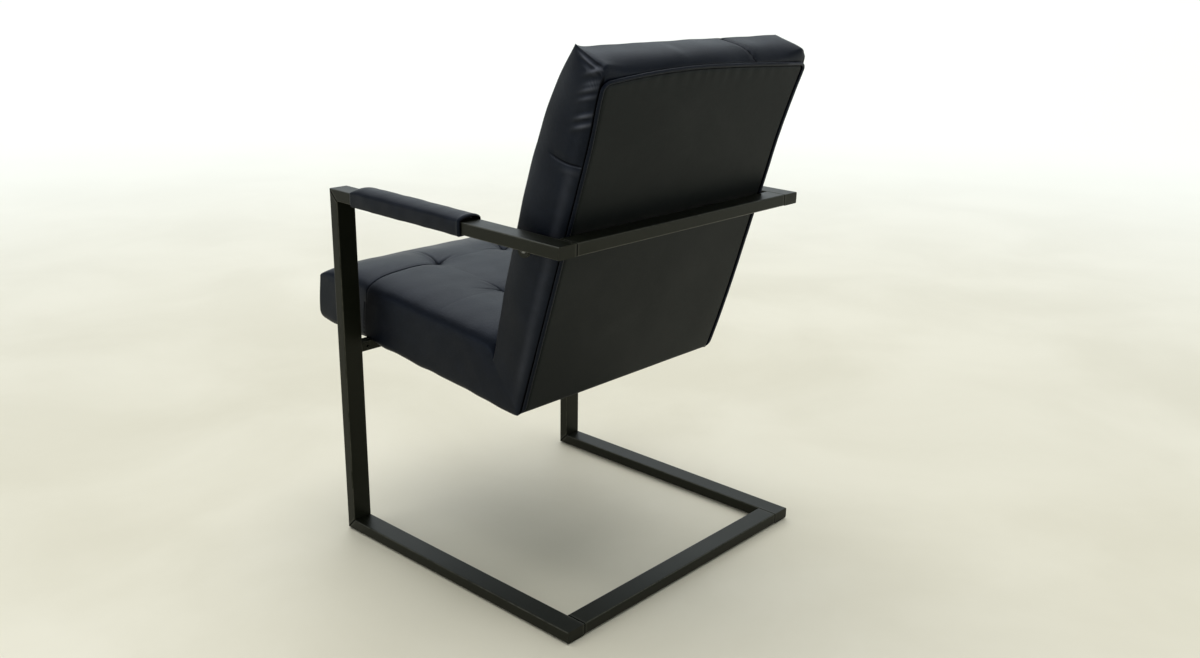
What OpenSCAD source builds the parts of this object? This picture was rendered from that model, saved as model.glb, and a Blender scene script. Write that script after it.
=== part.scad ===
// Cantilever armchair: a C-shaped frame of flat rectangular steel tube carries an upholstered L-shaped shell.
// X runs to the sitter's left, the chair faces -Y and Z is up. The origin is the middle of the footprint.

/* [Frame] */
// Overall width over the arm rails
frame_w = 600; // [540:5:680]
// Length of the base rails, front to rear
base_d = 567; // [500:1:640]
// Height of the arm rails' top face at the front
arm_h = 638; // [600:1:690]
// Angle at which the arm rails fall to the rear
arm_slope = 1.05; // [0:0.05:3]
// Wide side of the frame tube
tube_w = 38; // [30:1:46]
// Thin side of the frame tube
tube_t = 20; // [16:0.5:25]
// Wall of the frame tube
tube_wall = 2; // [1.5:0.25:3]
// Outer corner radius of the frame tube
tube_r = 2.5; // [2:0.25:4]
// Thickness of the plates that close the rails' rear ends
end_plate_t = 2; // [1.5:0.25:4]
// Space between the back crossbar and the rear panel
crossbar_gap = 2; // [1:0.5:10]

/* [Seat bar] */
// Depth of the square bar under the seat
bar_d = 19; // [16:0.5:19]
// Height of the square bar under the seat
bar_h = 19; // [16:0.5:30]
// Distance from the middle to each seat bolt
seat_bolt_x = 150; // [90:5:190]
// Diameter of the vent hole at each end of the seat bar
vent_d = 5; // [4:0.5:7]
// Distance from each end of the seat bar to its vent hole
vent_inset = 12; // [8:1:20]

/* [Arm tabs] */
// Thickness of the tab under each arm rail
tab_t = 4; // [3:0.5:6]
// Width of the tab
tab_w = 24; // [18:1:32]
// Distance from the arm rail's underside to the bolt in the tab
tab_drop = 9; // [8:0.5:20]
// Distance from the arm rail's inner face to the tab
tab_inset = 2; // [1:0.5:8]

/* [Fasteners] */
// Diameter of the bolts' thread
bolt_d = 6; // [5:0.5:8]
// Diameter of the bolts' domed head
bolt_head_d = 11; // [10:0.5:14]
// Height of the bolts' domed head
bolt_head_h = 3.3; // [2.5:0.1:5]
// Diameter of the tee nuts' barrel
tee_barrel_d = 9; // [9:0.5:11]
// Length of the tee nuts' barrel
tee_barrel_l = 10; // [6:0.5:12]
// Diameter of the tee nuts' flange
tee_flange_d = 20; // [16:0.5:24]
// Thickness of the tee nuts' flange
tee_flange_t = 1.5; // [1:0.25:2]
// Diameter of the spacers between the tabs and the shell's cheeks
spacer_d = 14; // [11:0.5:16]
// Distance from the back's rear plane to the side bolts
side_bolt_t = 53; // [40:1:54]

/* [Glides] */
// Height of the glides that show under the base rails
glide_h = 2; // [1:0.5:5]
// Diameter of the glides
glide_d = 22; // [16:1:28]
// Diameter of the glides' stem
glide_stem_d = 8; // [6:0.5:10]
// Length of the glides' stem above the rail's underside
glide_stem_l = 9; // [6:0.5:11]
// Distance from each end of a base rail to its glides
glide_inset = 32; // [28:1:80]

/* [Shell] */
// Space between each arm rail and the piping at the shell's side
shell_gap = 18.5; // [16:0.5:30]
// Lean of the back from the vertical
back_lean = 17.8; // [14:0.1:22]
// Fall of the seat to the rear
seat_pitch = 5.55; // [3:0.05:8]
// Distance of the shell's lower rear corner behind the frame's front face
foot_y = 406; // [380:1:430]
// Height of the shell's lower rear corner
foot_z = 321.5; // [300:0.5:345]
// Length of the seat's underside from that corner to the front
seat_l = 540; // [500:1:560]
// Length of the rear panel, up to the middle of its top piping
panel_l = 570; // [530:1:600]
// Thickness of the rear panel
panel_t = 6; // [4:0.5:8]
// Diameter of the piping
pipe_d = 6; // [5:0.5:8]
// Corner radius of the piping
pipe_r = 15; // [12:1:30]

/* [Wooden shell frame] */
// Thickness of the plywood cheeks
cheek_t = 18; // [15:1:22]
// Height of the seat part of the cheeks
cheek_h = 42; // [34:1:48]
// Depth of the back part of the cheeks
post_d = 60; // [56:1:66]
// Thickness of leather and foam outside the cheeks
side_pad_t = 13; // [10:0.5:18]
// Thickness of the wooden cross rails
rail_t = 20; // [18:1:26]
// Width of the wooden cross rails
rail_w = 60; // [45:1:80]
// Thickness of the webbing
web_t = 1.5; // [1:0.25:2.5]
// Width of the webbing
web_w = 50; // [40:5:60]
// Number of webbing straps in the seat
seat_straps = 4; // [3:1:5]
// Number of webbing straps in the back
back_straps = 5; // [3:1:6]
// Thickness of the dust cover under the seat
dust_t = 1; // [0.5:0.25:1.5]

/* [Cushions] */
// Height of the seat's upright side before its shoulder
seat_side_h = 70; // [56:1:80]
// Height of the seat at its crown
seat_crown_h = 115; // [106:1:126]
// Reach of the rounding at the seat's front
seat_front_r = 90; // [70:5:130]
// Reach of the rounding at the seat's sides
seat_side_r = 99; // [70:1:120]
// Thickness of the back where the seat meets it
back_low_t = 88; // [84:1:96]
// Thickness of the back at its fullest side
back_mid_t = 100; // [94:1:108]
// Thickness of the back at its top edge
back_top_t = 68.5; // [60:0.5:80]
// Rise of the back's top from the piping to its front edge
back_top_rise = 8; // [3:1:14]
// How far the corners of the back's top stand over its middle
ear_h = 7; // [0:1:10]
// How far the middle of the back stands ahead of its sides
back_crown = 14; // [6:1:20]
// How far the back's sides swell past the piping
side_bulge = 8; // [3:0.5:10]
// How far the seat's sides swell past the piping
seat_bulge = 2.5; // [1:0.5:6]
// Spacing of the two tufts in a row
tuft_span = 162; // [140:2:180]
// Spacing of the two rows of tufts
tuft_pitch = 179; // [150:1:190]
// Distance from the seat's front edge to its first row of tufts
seat_tuft_margin = 140; // [125:1:160]
// Distance from the back's top edge to its first row of tufts
back_tuft_margin = 153; // [140:1:170]
// Depth of the tufts
tuft_depth = 11; // [4:1:16]
// Rise of the pillows between the seams
pillow_h = 5; // [0:0.5:8]

/* [Arm sleeves] */
// Distance from the frame's front face to the sleeves
sleeve_y = 62; // [50:1:90]
// Length of the leather sleeves
sleeve_l = 277; // [240:1:310]
// Thickness of the leather of the sleeves
sleeve_t = 2.2; // [1.5:0.1:3]
// Height of the sleeves' domed top over the arm rail
sleeve_dome = 11.5; // [8:0.5:14]
// How far the foam pad stops inside each end of its sleeve
pad_inset = 14; // [5:1:30]

/* [Hidden] */

// Running clearance between fitted pieces, and the space around soft ones
fit = 0.2;
soft_gap = 0.3;
far = 2000;
bolt_r = bolt_d / 2;
hole_r = bolt_r + 0.3;
pipe_rad = pipe_d / 2;

inner_x = frame_w / 2 - tube_w;
rail_x = frame_w / 2 - tube_w / 2;
shell_x = inner_x - shell_gap;
mitre_tilt = 45 + arm_slope / 2;

// Angle between the back's plane and the square of the seat
crook = back_lean - seat_pitch;
cheek_x = shell_x - side_pad_t;
post_x = cheek_x - cheek_t;
post_front = panel_t + post_d;
panel_x = shell_x - pipe_rad - soft_gap;
cheek_top = panel_l - 25;
cheek_front = seat_l - side_pad_t - 3;

// A point of the side view, from the seat's own axes and from the back's
function seat_pt(y, z) = [
    foot_y + y * cos(seat_pitch) + z * sin(seat_pitch),
    foot_z - y * sin(seat_pitch) + z * cos(seat_pitch)
];
function back_pt(y, z) = [
    foot_y + y * cos(back_lean) + z * sin(back_lean),
    foot_z - y * sin(back_lean) + z * cos(back_lean)
];
// Where a plane that lies c ahead of the back's rear plane meets the height z over the seat's underside
function crook_y(c, z) = z * tan(crook) - c / cos(crook);

// The rear panel's place at the arm rails' height sets how far back the arms reach
arm_top_pt_y = foot_y + (arm_h - foot_z) * tan(back_lean);
arm_l = (arm_top_pt_y + crossbar_gap) / (cos(arm_slope) + sin(arm_slope) * tan(back_lean)) + tube_w;

// The tab's bolt goes into the cheek's post, just below the arm rail
bolt_line = -side_bolt_t;
bolt_up = (
    arm_h - tube_t / cos(arm_slope) - tab_drop / cos(arm_slope) - foot_z + bolt_line * sin(back_lean)
    - (foot_y + bolt_line * cos(back_lean)) * tan(arm_slope)
) / (cos(back_lean) + sin(back_lean) * tan(arm_slope));
side_bolt_pt = back_pt(bolt_line, bolt_up);
tab_along = side_bolt_pt[0] * cos(arm_slope) - (side_bolt_pt[1] - arm_h) * sin(arm_slope);
tab_x = inner_x + tab_inset;

// The seat bar lies under the seat, on the middle line of the uprights
bar_along = -(foot_y - tube_t / 2 + dust_t * sin(seat_pitch)) / cos(seat_pitch);
bar_bolt_l = bar_h + dust_t + rail_t;

// Half of the footprint's length, from the seat's front edge to the rearmost line of the piping
front_round = 6;
front_reach = seat_pt(-seat_l, front_round)[0];
pipe_y = -pipe_rad + 1.3;
rear_reach = max(base_d, back_pt(pipe_y, panel_l)[0] + pipe_rad);
mid_y = (front_reach + rear_reach) / 2;

steel = "#3b3a32";
leather = "#20242c";
panel_leather = "#2a2c2b";
wood = "#b98f5e";
foam = "#d8cfa8";
zinc = "#a9abad";
cloth = "#1c1c1e";
plastic = "#151515";

module placed() {
    translate([0, -mid_y, 0]) children();
}
module arm_frame() {
    placed() translate([0, 0, arm_h]) rotate([-arm_slope, 0, 0]) children();
}
module seat_frame() {
    placed() translate([0, foot_y, foot_z]) rotate([-seat_pitch, 0, 0]) children();
}
module back_frame() {
    placed() translate([0, foot_y, foot_z]) rotate([-back_lean, 0, 0]) children();
}
// Makes the sitter's left piece on side 1 and the right one on side -1
module on_side(side) {
    mirror([side < 0 ? 1 : 0, 0, 0]) children();
}
// Stands a side view, drawn as depth and height, up at x and gives it a thickness
module side_plate(x, t) {
    translate([x, 0, 0]) rotate([90, 0, 90]) linear_extrude(t) children();
}

module rounded_rect(w, h, r) {
    square([w - 2 * r, h], center = true);
    square([w, h - 2 * r], center = true);
    for (x = [-1, 1], y = [-1, 1]) translate([x * (w / 2 - r), y * (h / 2 - r)]) circle(r, $fn = 32);
}
module tube_section(w, h) {
    difference() {
        rounded_rect(w, h, tube_r);
        rounded_rect(w - 2 * tube_wall, h - 2 * tube_wall, max(tube_r - tube_wall, 0.5));
    }
}
// Tubes along each axis, from 0 up, w wide and h high, with the axis through the section's middle
module tube_up(l, w, h) {
    linear_extrude(l) tube_section(w, h);
}
module tube_back(l, w, h) {
    rotate([-90, 0, 0]) linear_extrude(l) tube_section(w, h);
}
module tube_across(l, w, h) {
    translate([-l / 2, 0, 0]) rotate([90, 0, 90]) linear_extrude(l) tube_section(w, h);
}
// Everything above a plane that falls to the rear by tilt, or below it
module above_plane(tilt) {
    rotate([-tilt, 0, 0]) translate([-far, -far, 0]) cube([2 * far, 2 * far, far]);
}
module below_plane(tilt) {
    rotate([-tilt, 0, 0]) translate([-far, -far, -far]) cube([2 * far, 2 * far, far]);
}

module upright(side) {
    color(steel) placed() on_side(side) difference() {
        translate([rail_x, tube_t / 2, glide_h]) tube_up(arm_h - glide_h, tube_w, tube_t);
        translate([0, 0, arm_h]) above_plane(mitre_tilt);
        translate([0, 0, glide_h]) below_plane(-45);
    }
}
module left_upright() { upright(1); }
module right_upright() { upright(-1); }

module arm_rail(side) {
    color(steel) on_side(side) difference() {
        arm_frame() translate([rail_x, -tube_t, -tube_t / 2])
            tube_back(arm_l - end_plate_t + tube_t, tube_w, tube_t);
        placed() translate([0, 0, arm_h]) below_plane(mitre_tilt);
    }
}
module left_arm_rail() { arm_rail(1); }
module right_arm_rail() { arm_rail(-1); }

module base_rail(side) {
    color(steel) placed() on_side(side) difference() {
        translate([rail_x, 0, glide_h + tube_t / 2]) tube_back(base_d - end_plate_t, tube_w, tube_t);
        translate([0, 0, glide_h]) above_plane(-45);
        for (y = [glide_inset, base_d - glide_inset]) translate([rail_x, y, 0])
            cylinder(h = glide_h + tube_t / 2, r = glide_stem_d / 2 + fit / 2, $fn = 32);
    }
}
module left_base_rail() { base_rail(1); }
module right_base_rail() { base_rail(-1); }

module base_crossbar() {
    color(steel) placed() translate([0, base_d - tube_w / 2, glide_h + tube_t / 2])
        tube_across(2 * inner_x, tube_w, tube_t);
}
module back_crossbar() {
    color(steel) arm_frame() translate([0, arm_l - tube_w / 2, -tube_t / 2])
        tube_across(2 * inner_x, tube_w, tube_t);
}
module seat_bar() {
    color(steel) seat_frame() translate([0, bar_along, -dust_t - bar_h / 2]) difference() {
        tube_across(2 * inner_x, bar_d, bar_h);
        for (x = [-seat_bolt_x, seat_bolt_x])
            translate([x, 0, -bar_h]) cylinder(h = 2 * bar_h, r = hole_r, $fn = 32);
        for (x = [-1, 1])
            translate([x * (inner_x - vent_inset), 0, 0]) rotate([-90, 0, 0])
                cylinder(h = bar_d, r = vent_d / 2, $fn = 32);
    }
}

module end_plate() {
    rotate([-90, 0, 0]) linear_extrude(end_plate_t) rounded_rect(tube_w, tube_t, tube_r);
}
module rail_end_plates() {
    color(steel) for (side = [-1, 1]) {
        placed() translate([side * rail_x, base_d - end_plate_t, glide_h + tube_t / 2]) end_plate();
        arm_frame() translate([side * rail_x, arm_l - end_plate_t, -tube_t / 2]) end_plate();
    }
}

// Side view of a tab: square under the arm rail, round below the bolt
module tab_outline() {
    difference() {
        union() {
            translate([-tab_w / 2, -tab_drop]) square([tab_w, tab_drop]);
            translate([0, -tab_drop]) circle(tab_w / 2, $fn = 48);
        }
        translate([-tab_w, 0]) square([2 * tab_w, tab_w]);
        translate([0, -tab_drop]) circle(hole_r, $fn = 32);
    }
}
module arm_tab(side) {
    color(steel) on_side(side) arm_frame() translate([0, tab_along, -tube_t])
        side_plate(tab_x, tab_t) tab_outline();
}
module left_arm_tab() { arm_tab(1); }
module right_arm_tab() { arm_tab(-1); }

// Things that lie on the side bolt's axis, drawn along +Z from the shell's middle outwards
module on_side_bolt(side, x) {
    placed() on_side(side) translate([x, side_bolt_pt[0], side_bolt_pt[1]]) rotate([0, 90, 0]) children();
}
module ring(h, r_out, r_in) {
    difference() {
        cylinder(h = h, r = r_out, $fn = 48);
        translate([0, 0, -1]) cylinder(h = h + 2, r = r_in, $fn = 32);
    }
}
// A bolt whose thread runs from 0 up to the underside of a domed head, with a six-sided socket in the head
module bolt(l) {
    dome_r = (pow(bolt_head_d / 2, 2) + pow(bolt_head_h, 2)) / (2 * bolt_head_h);
    cylinder(h = l, r = bolt_r, $fn = 32);
    translate([0, 0, l]) difference() {
        intersection() {
            cylinder(h = bolt_head_h, r = bolt_head_d / 2, $fn = 48);
            translate([0, 0, bolt_head_h - dome_r]) sphere(dome_r, $fn = 64);
        }
        translate([0, 0, bolt_head_h - 2]) cylinder(h = 3, r = bolt_r * 0.75, $fn = 6);
    }
}
module tee_nut() {
    ring(tee_flange_t, tee_flange_d / 2, bolt_r + fit / 2);
    translate([0, 0, tee_flange_t]) ring(tee_barrel_l, tee_barrel_d / 2, bolt_r + fit / 2);
}

module side_spacers() {
    color(zinc) for (side = [-1, 1])
        on_side_bolt(side, cheek_x) ring(tab_x - cheek_x, spacer_d / 2, hole_r);
}
module side_bolts() {
    color(zinc) for (side = [-1, 1])
        on_side_bolt(side, post_x) bolt(tab_x + tab_t - post_x);
}
module side_tee_nuts() {
    color(zinc) for (side = [-1, 1])
        on_side_bolt(side, post_x - tee_flange_t) tee_nut();
}
module seat_bolts() {
    color(zinc) seat_frame() for (x = [-seat_bolt_x, seat_bolt_x])
        translate([x, bar_along, rail_t]) rotate([180, 0, 0]) bolt(bar_bolt_l);
}
module seat_tee_nuts() {
    color(zinc) seat_frame() for (x = [-seat_bolt_x, seat_bolt_x])
        translate([x, bar_along, rail_t + tee_flange_t]) rotate([180, 0, 0]) tee_nut();
}

module glide(side, y) {
    color(plastic) placed() on_side(side) translate([rail_x, y, 0]) {
        cylinder(h = glide_h, r = glide_d / 2, $fn = 48);
        cylinder(h = glide_h + glide_stem_l, r = glide_stem_d / 2, $fn = 32);
    }
}
module front_left_glide() { glide(1, glide_inset); }
module front_right_glide() { glide(-1, glide_inset); }
module rear_left_glide() { glide(1, base_d - glide_inset); }
module rear_right_glide() { glide(-1, base_d - glide_inset); }

// Side view of a cheek: the seat part and the back part of one plywood sheet
module cheek_outline() {
    polygon([
        seat_pt(-cheek_front, 0),
        back_pt(-panel_t, -panel_t * tan(crook)),
        back_pt(-panel_t, cheek_top),
        back_pt(-post_front, cheek_top),
        seat_pt(crook_y(post_front, cheek_h), cheek_h),
        seat_pt(-cheek_front, cheek_h)
    ]);
}
module cheek(side) {
    color(wood) placed() on_side(side) difference() {
        side_plate(post_x, cheek_t) cheek_outline();
        translate([post_x - 1, side_bolt_pt[0], side_bolt_pt[1]]) rotate([0, 90, 0]) {
            cylinder(h = cheek_t + 2, r = hole_r, $fn = 32);
            cylinder(h = tee_barrel_l + 1 + fit, r = tee_barrel_d / 2 + fit / 2, $fn = 32);
        }
    }
}
module left_cheek() { cheek(1); }
module right_cheek() { cheek(-1); }

module seat_front_rail() {
    color(wood) seat_frame() translate([-post_x, -cheek_front, 0]) cube([2 * post_x, rail_t, cheek_h]);
}
module seat_bolt_rail() {
    color(wood) seat_frame() difference() {
        translate([-post_x, bar_along - rail_w / 2, 0]) cube([2 * post_x, rail_w, rail_t]);
        for (x = [-seat_bolt_x, seat_bolt_x]) translate([x, bar_along, 0]) {
            translate([0, 0, -1]) cylinder(h = rail_t + 2, r = hole_r, $fn = 32);
            translate([0, 0, rail_t - tee_barrel_l - fit])
                cylinder(h = tee_barrel_l + 1, r = tee_barrel_d / 2 + fit / 2, $fn = 32);
        }
    }
}
// The rear rail stands in the crook, against the line of the posts' front
module seat_rear_rail() {
    color(wood) seat_frame() translate([-post_x, crook_y(post_front, 0) - rail_t, 0])
        cube([2 * post_x, rail_t, cheek_h]);
}
module back_cross_rail(z) {
    color(wood) back_frame() translate([-post_x, -post_front, z]) cube([2 * post_x, rail_t, rail_w]);
}
module back_lumbar_rail() { back_cross_rail(cheek_h + rail_w); }
module back_top_rail() { back_cross_rail(cheek_top - rail_w); }

// Straps from cheek to cheek, over the seat's frame and over the front of the back's
module seat_webbing() {
    first = -cheek_front + rail_t + web_w / 2;
    last = crook_y(post_front, cheek_h) - rail_t - web_w / 2;
    color(cloth) seat_frame() for (i = [0:seat_straps - 1])
        translate([-cheek_x, first + (last - first) * i / (seat_straps - 1) - web_w / 2, cheek_h])
            cube([2 * cheek_x, web_w, web_t]);
}
module back_webbing() {
    first = cheek_h + 2 * rail_w + web_w;
    last = cheek_top - rail_w - web_w;
    color(cloth) back_frame() for (i = [0:back_straps - 1])
        translate([-cheek_x, -post_front - web_t, first + (last - first) * i / (back_straps - 1) - web_w / 2])
            cube([2 * cheek_x, web_t, web_w]);
}
module dust_cover() {
    color(cloth) seat_frame() difference() {
        translate([-cheek_x + 3, -cheek_front + 3, -dust_t])
            cube([2 * cheek_x - 6, cheek_front - panel_t - 8, dust_t]);
        for (x = [-seat_bolt_x, seat_bolt_x])
            translate([x, bar_along, -dust_t - 1]) cylinder(h = dust_t + 2, r = hole_r, $fn = 32);
    }
}

// The space inside the upholstery: the wooden frame, its webbing and a little room
module frame_space() {
    over = cheek_h + web_t + tee_flange_t + soft_gap;
    ahead = post_front + web_t + soft_gap;
    half = cheek_x + soft_gap;
    placed() side_plate(-half, 2 * half) polygon([
        seat_pt(-cheek_front - soft_gap, -20),
        back_pt(20, -60),
        back_pt(20, cheek_top + soft_gap),
        back_pt(-ahead, cheek_top + soft_gap),
        seat_pt(crook_y(ahead, over), over),
        seat_pt(-cheek_front - soft_gap, over)
    ]);
}
module spacer_space() {
    for (side = [-1, 1])
        on_side_bolt(side, cheek_x - 5) cylinder(h = 60, r = spacer_d / 2 + soft_gap, $fn = 32);
}

// Rounding that rises from 0 at an edge to 1 at the reach r away from it
function roll(d, r, p) = d >= r ? 1 : pow(max(0, 1 - pow(1 - max(0, d) / r, p)), 1 / p);
// Share of the way from the seam line before v to the one after it
function between(v, lines, i = 0) = i >= len(lines) - 2 || v <= lines[i + 1]
    ? (v - lines[i]) / (lines[i + 1] - lines[i])
    : between(v, lines, i + 1);
// Rise of a pillow at the shares u and v between its seams, and the fall into the nearest tuft
function pillow(u, v) = pillow_h * sqrt(max(0, sin(180 * u)) * max(0, sin(180 * v)));
tuft_x = tuft_span / 2;
tuft_reach = 25;
function dent(x, y, rows) = tuft_depth * max([
    for (tx = [-tuft_x, tuft_x], ty = rows)
        exp(-(pow(x - tx, 2) + pow(y - ty, 2)) / pow(tuft_reach, 2))
]);
function sorted(v) = len(v) < 2 ? v : let (p = v[floor(len(v) / 2)]) concat(
    sorted([for (x = v) if (x < p) x]), [p], sorted([for (x = v) if (x > p) x])
);

// Skins a stack of rings that have equal counts of points, and closes both ends with a fan
module stack(rings, cap_a, cap_b) {
    n = len(rings[0]);
    m = len(rings);
    points = concat([for (r = rings) each r], [cap_a, cap_b]);
    walls = [for (j = [0:m - 2], i = [0:n - 1]) let (
        a = j * n + i,
        b = j * n + (i + 1) % n
    ) each [[a, b, b + n], [a, b + n, a + n]]];
    first = [for (i = [0:n - 1]) [(i + 1) % n, i, n * m]];
    last = [for (i = [0:n - 1]) [(m - 1) * n + i, (m - 1) * n + (i + 1) % n, n * m + 1]];
    polyhedron(points, concat(walls, first, last), convexity = 6);
}

// Places across the half width, closer together at the shoulder and round the tufts
cross_marks = [0, 0.16, 0.27, 0.34, 0.4, 0.52, 0.66, 0.78, 0.87, 0.93, 0.97, 0.99];
across = concat([for (i = [len(cross_marks) - 1:-1:1]) -cross_marks[i]], cross_marks);

seat_x = shell_x + seat_bulge;
seat_rows = [-seat_l + seat_tuft_margin, -seat_l + seat_tuft_margin + tuft_pitch];
seat_lines = [-seat_l, seat_rows[0], seat_rows[1], crook_y(back_low_t, seat_crown_h)];
column_lines = [-seat_x, -tuft_x, tuft_x, seat_x];
// The seat falls by a share of its crown towards the back, over this reach
seat_rear_fall = 0.2;
seat_rear_r = 70;
function seat_crown(x, y) = (seat_crown_h - seat_side_h)
    * roll(seat_x - abs(x), seat_side_r, 2)
    * roll(y + seat_l + 0.5, seat_front_r, 2.2)
    * (1 - seat_rear_fall + seat_rear_fall * roll(seat_lines[3] - y, seat_rear_r, 2));
function seat_pillows(x, y) = roll(y + seat_l, seat_front_r, 2)
    * (pillow(between(x, column_lines), between(y, seat_lines)) - dent(x, y, seat_rows));
// Height of the seat over its underside
function seat_top(x, y) = seat_side_h + seat_crown(x, y) + seat_pillows(x, y);
// The swell of the seat's side, drawn in at the foot
function seat_swell(z) = seat_bulge * sin(90 * min(1, 0.15 + z / seat_side_h));
function seat_side(side, y, z, lean) = let (up = max(z, y <= -seat_l ? front_round : 0))
    [side * (shell_x + seat_swell(z)), y + up * lean, up];
seat_side_z = [0, seat_side_h / 2, seat_side_h];
function seat_ring(y, lean) = concat(
    [for (z = seat_side_z) seat_side(-1, y, z, lean)],
    [for (k = across) let (z = seat_top(k * seat_x, y)) [k * seat_x, y + z * lean, z]],
    [for (i = [len(seat_side_z) - 1:-1:0]) seat_side(1, y, seat_side_z[i], lean)]
);
module seat_cushion() {
    rear = crook_y(back_low_t + soft_gap, 0);
    stations = sorted(concat(
        [for (d = [0, 1.5, 5, 11, 20, 34, 55, 75]) -seat_l + d],
        [for (r = seat_rows, d = [-45, -20, 0, 20, 45]) r + d],
        [for (d = [-55, -22, -8, 0]) rear + d]
    ));
    rings = [for (y = stations) seat_ring(y, tan(crook) * pow((y + seat_l) / (rear + seat_l), 3))];
    color(leather) difference() {
        seat_frame() stack(rings, [0, -seat_l, seat_side_h / 2], [0, rear + tan(crook) * 50, 50]);
        frame_space();
    }
}

back_front_z = panel_l + pipe_rad + back_top_rise;
back_rows = [back_front_z - back_tuft_margin - tuft_pitch, back_front_z - back_tuft_margin];
back_lines = [cheek_h + rail_w, back_rows[0], back_rows[1], back_front_z];
back_x = shell_x - 2;
// Thickness of the back at its sides: full at mid height, thinner at the top and where the seat meets it
function back_side_t(z) = z > back_front_z / 2
    ? back_top_t + (back_mid_t - back_top_t) * (1 - pow(2 * z / back_front_z - 1, 4))
    : back_low_t + (back_mid_t - back_low_t) * roll(z - back_lines[0], back_front_z / 2 - back_lines[0], 2);
function back_front(x, z) = back_side_t(z) + (z <= back_lines[0] ? 0 :
    roll(z - back_lines[0], 40, 2) * roll(back_front_z - z, 80, 2) * (
        back_crown * (1 - pow(abs(x) / back_x, 3))
        + pillow(between(x, [-back_x, -tuft_x, tuft_x, back_x]), between(z, back_lines))
        - dent(x, z, back_rows)
    ));
// How far the side stands out at the share s of the way from the piping to the front edge
side_stand = 1;
function back_swell(s, z) = side_stand + side_bulge * sin(180 * s)
    * roll(back_front_z - z, 150, 2) * roll(z, 200, 2);
// A place on the back, t ahead of the panel's plane: the top tilts up forwards, most at its corners
function back_place(x, t, z, tilt) = let (
    ear = ear_h * pow(abs(x) / shell_x, 4) * pow(z / panel_l, 9) / back_top_t
) [x, -t, z + t * (tilt + ear)];
function back_side(side, s, z, tilt) = back_place(
    side * (shell_x + back_swell(s, z)), panel_t + s * (back_side_t(z) - panel_t), z, tilt
);
// The front draws back at its side edges, over the outer tenth of its half width
edge_draw = 12;
function back_drawn(k, z) = back_front(k * back_x, z) - edge_draw * (1 - roll(1 - abs(k), 0.1, 2));
side_shares = [0, 0.2, 0.45, 0.7, 0.9];
function back_ring(z, tilt) = concat(
    [for (s = side_shares) back_side(1, s, z, tilt)],
    [for (i = [len(across) - 1:-1:0]) back_place(across[i] * back_x, back_drawn(across[i], z), z, tilt)],
    [for (i = [len(side_shares) - 1:-1:0]) back_side(-1, side_shares[i], z, tilt)]
);
module back_cushion() {
    top_tilt = back_top_rise / back_top_t;
    top = panel_l + pipe_rad - 1.5;
    foot_h = 40;
    stations = sorted(concat(
        [0, foot_h],
        [for (d = [-3, 0, 6, 20, 45]) back_lines[0] + d],
        [for (r = back_rows, d = [-45, -20, 0, 20, 45]) r + d],
        [top - 60, top - 35, top - 18, top - 7, top]
    ));
    rings = [for (z = stations)
        back_ring(z, z <= foot_h ? -tan(crook) * (foot_h - z) / foot_h : top_tilt * pow(z / top, 8))
    ];
    color(leather) difference() {
        back_frame() stack(
            rings,
            [0, -back_low_t / 2, -tan(crook) * back_low_t / 2],
            [0, -back_top_t / 2, top + top_tilt * back_top_t / 2 + 3]
        );
        frame_space();
        spacer_space();
    }
}

module rear_panel() {
    height = panel_l - pipe_rad - soft_gap;
    corner = pipe_r - pipe_rad - soft_gap;
    color(panel_leather) back_frame() rotate([90, 0, 0]) linear_extrude(panel_t - soft_gap) union() {
        translate([-panel_x, 0]) square([2 * panel_x, height - corner]);
        translate([-panel_x + corner, 0]) square([2 * (panel_x - corner), height]);
        for (x = [-1, 1]) translate([x * (panel_x - corner), height - corner]) circle(corner, $fn = 48);
    }
}
module welt_piping() {
    straight = panel_l - pipe_r;
    color(leather) back_frame() translate([0, pipe_y, 0]) {
        for (x = [-1, 1]) {
            translate([x * shell_x, 0, 0]) cylinder(h = straight, r = pipe_rad, $fn = 24);
            translate([x * (shell_x - pipe_r), 0, straight]) rotate([90, x > 0 ? 0 : -90, 0])
                rotate_extrude(angle = 90, $fn = 48) translate([pipe_r, 0]) circle(pipe_rad, $fn = 24);
        }
        translate([-(shell_x - pipe_r), 0, panel_l]) rotate([0, 90, 0])
            cylinder(h = 2 * (shell_x - pipe_r), r = pipe_rad, $fn = 24);
    }
}

// The arm sleeve's section: flat sides and underside, and a domed top over the pad
module dome_section(w, low, rise, high) {
    dome_h = high - rise;
    dome_r = (pow(w / 2, 2) + pow(dome_h, 2)) / (2 * dome_h);
    translate([-w / 2, low]) square([w, rise - low]);
    intersection() {
        translate([0, high - dome_r]) circle(dome_r, $fn = 96);
        translate([-w / 2, rise - 0.01]) square([w, dome_h + 1]);
    }
}
shoulder = 2;
module arm_sleeve(side) {
    w = tube_w + 2 * soft_gap;
    color(leather) on_side(side) arm_frame() translate([rail_x, sleeve_y, 0]) rotate([90, 0, 180])
        linear_extrude(sleeve_l) difference() {
            dome_section(w + 2 * sleeve_t, -tube_t - soft_gap - sleeve_t, shoulder + sleeve_t, sleeve_dome);
            dome_section(w, -tube_t - soft_gap, shoulder, sleeve_dome - sleeve_t);
        }
}
module left_arm_sleeve() { arm_sleeve(1); }
module right_arm_sleeve() { arm_sleeve(-1); }

module arm_pad(side) {
    color(foam) on_side(side) arm_frame() translate([rail_x, sleeve_y + pad_inset, 0]) rotate([90, 0, 180])
        linear_extrude(sleeve_l - 2 * pad_inset)
            dome_section(tube_w - 1, 0, shoulder - soft_gap, sleeve_dome - sleeve_t - soft_gap);
}
module left_arm_pad() { arm_pad(1); }
module right_arm_pad() { arm_pad(-1); }

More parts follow.
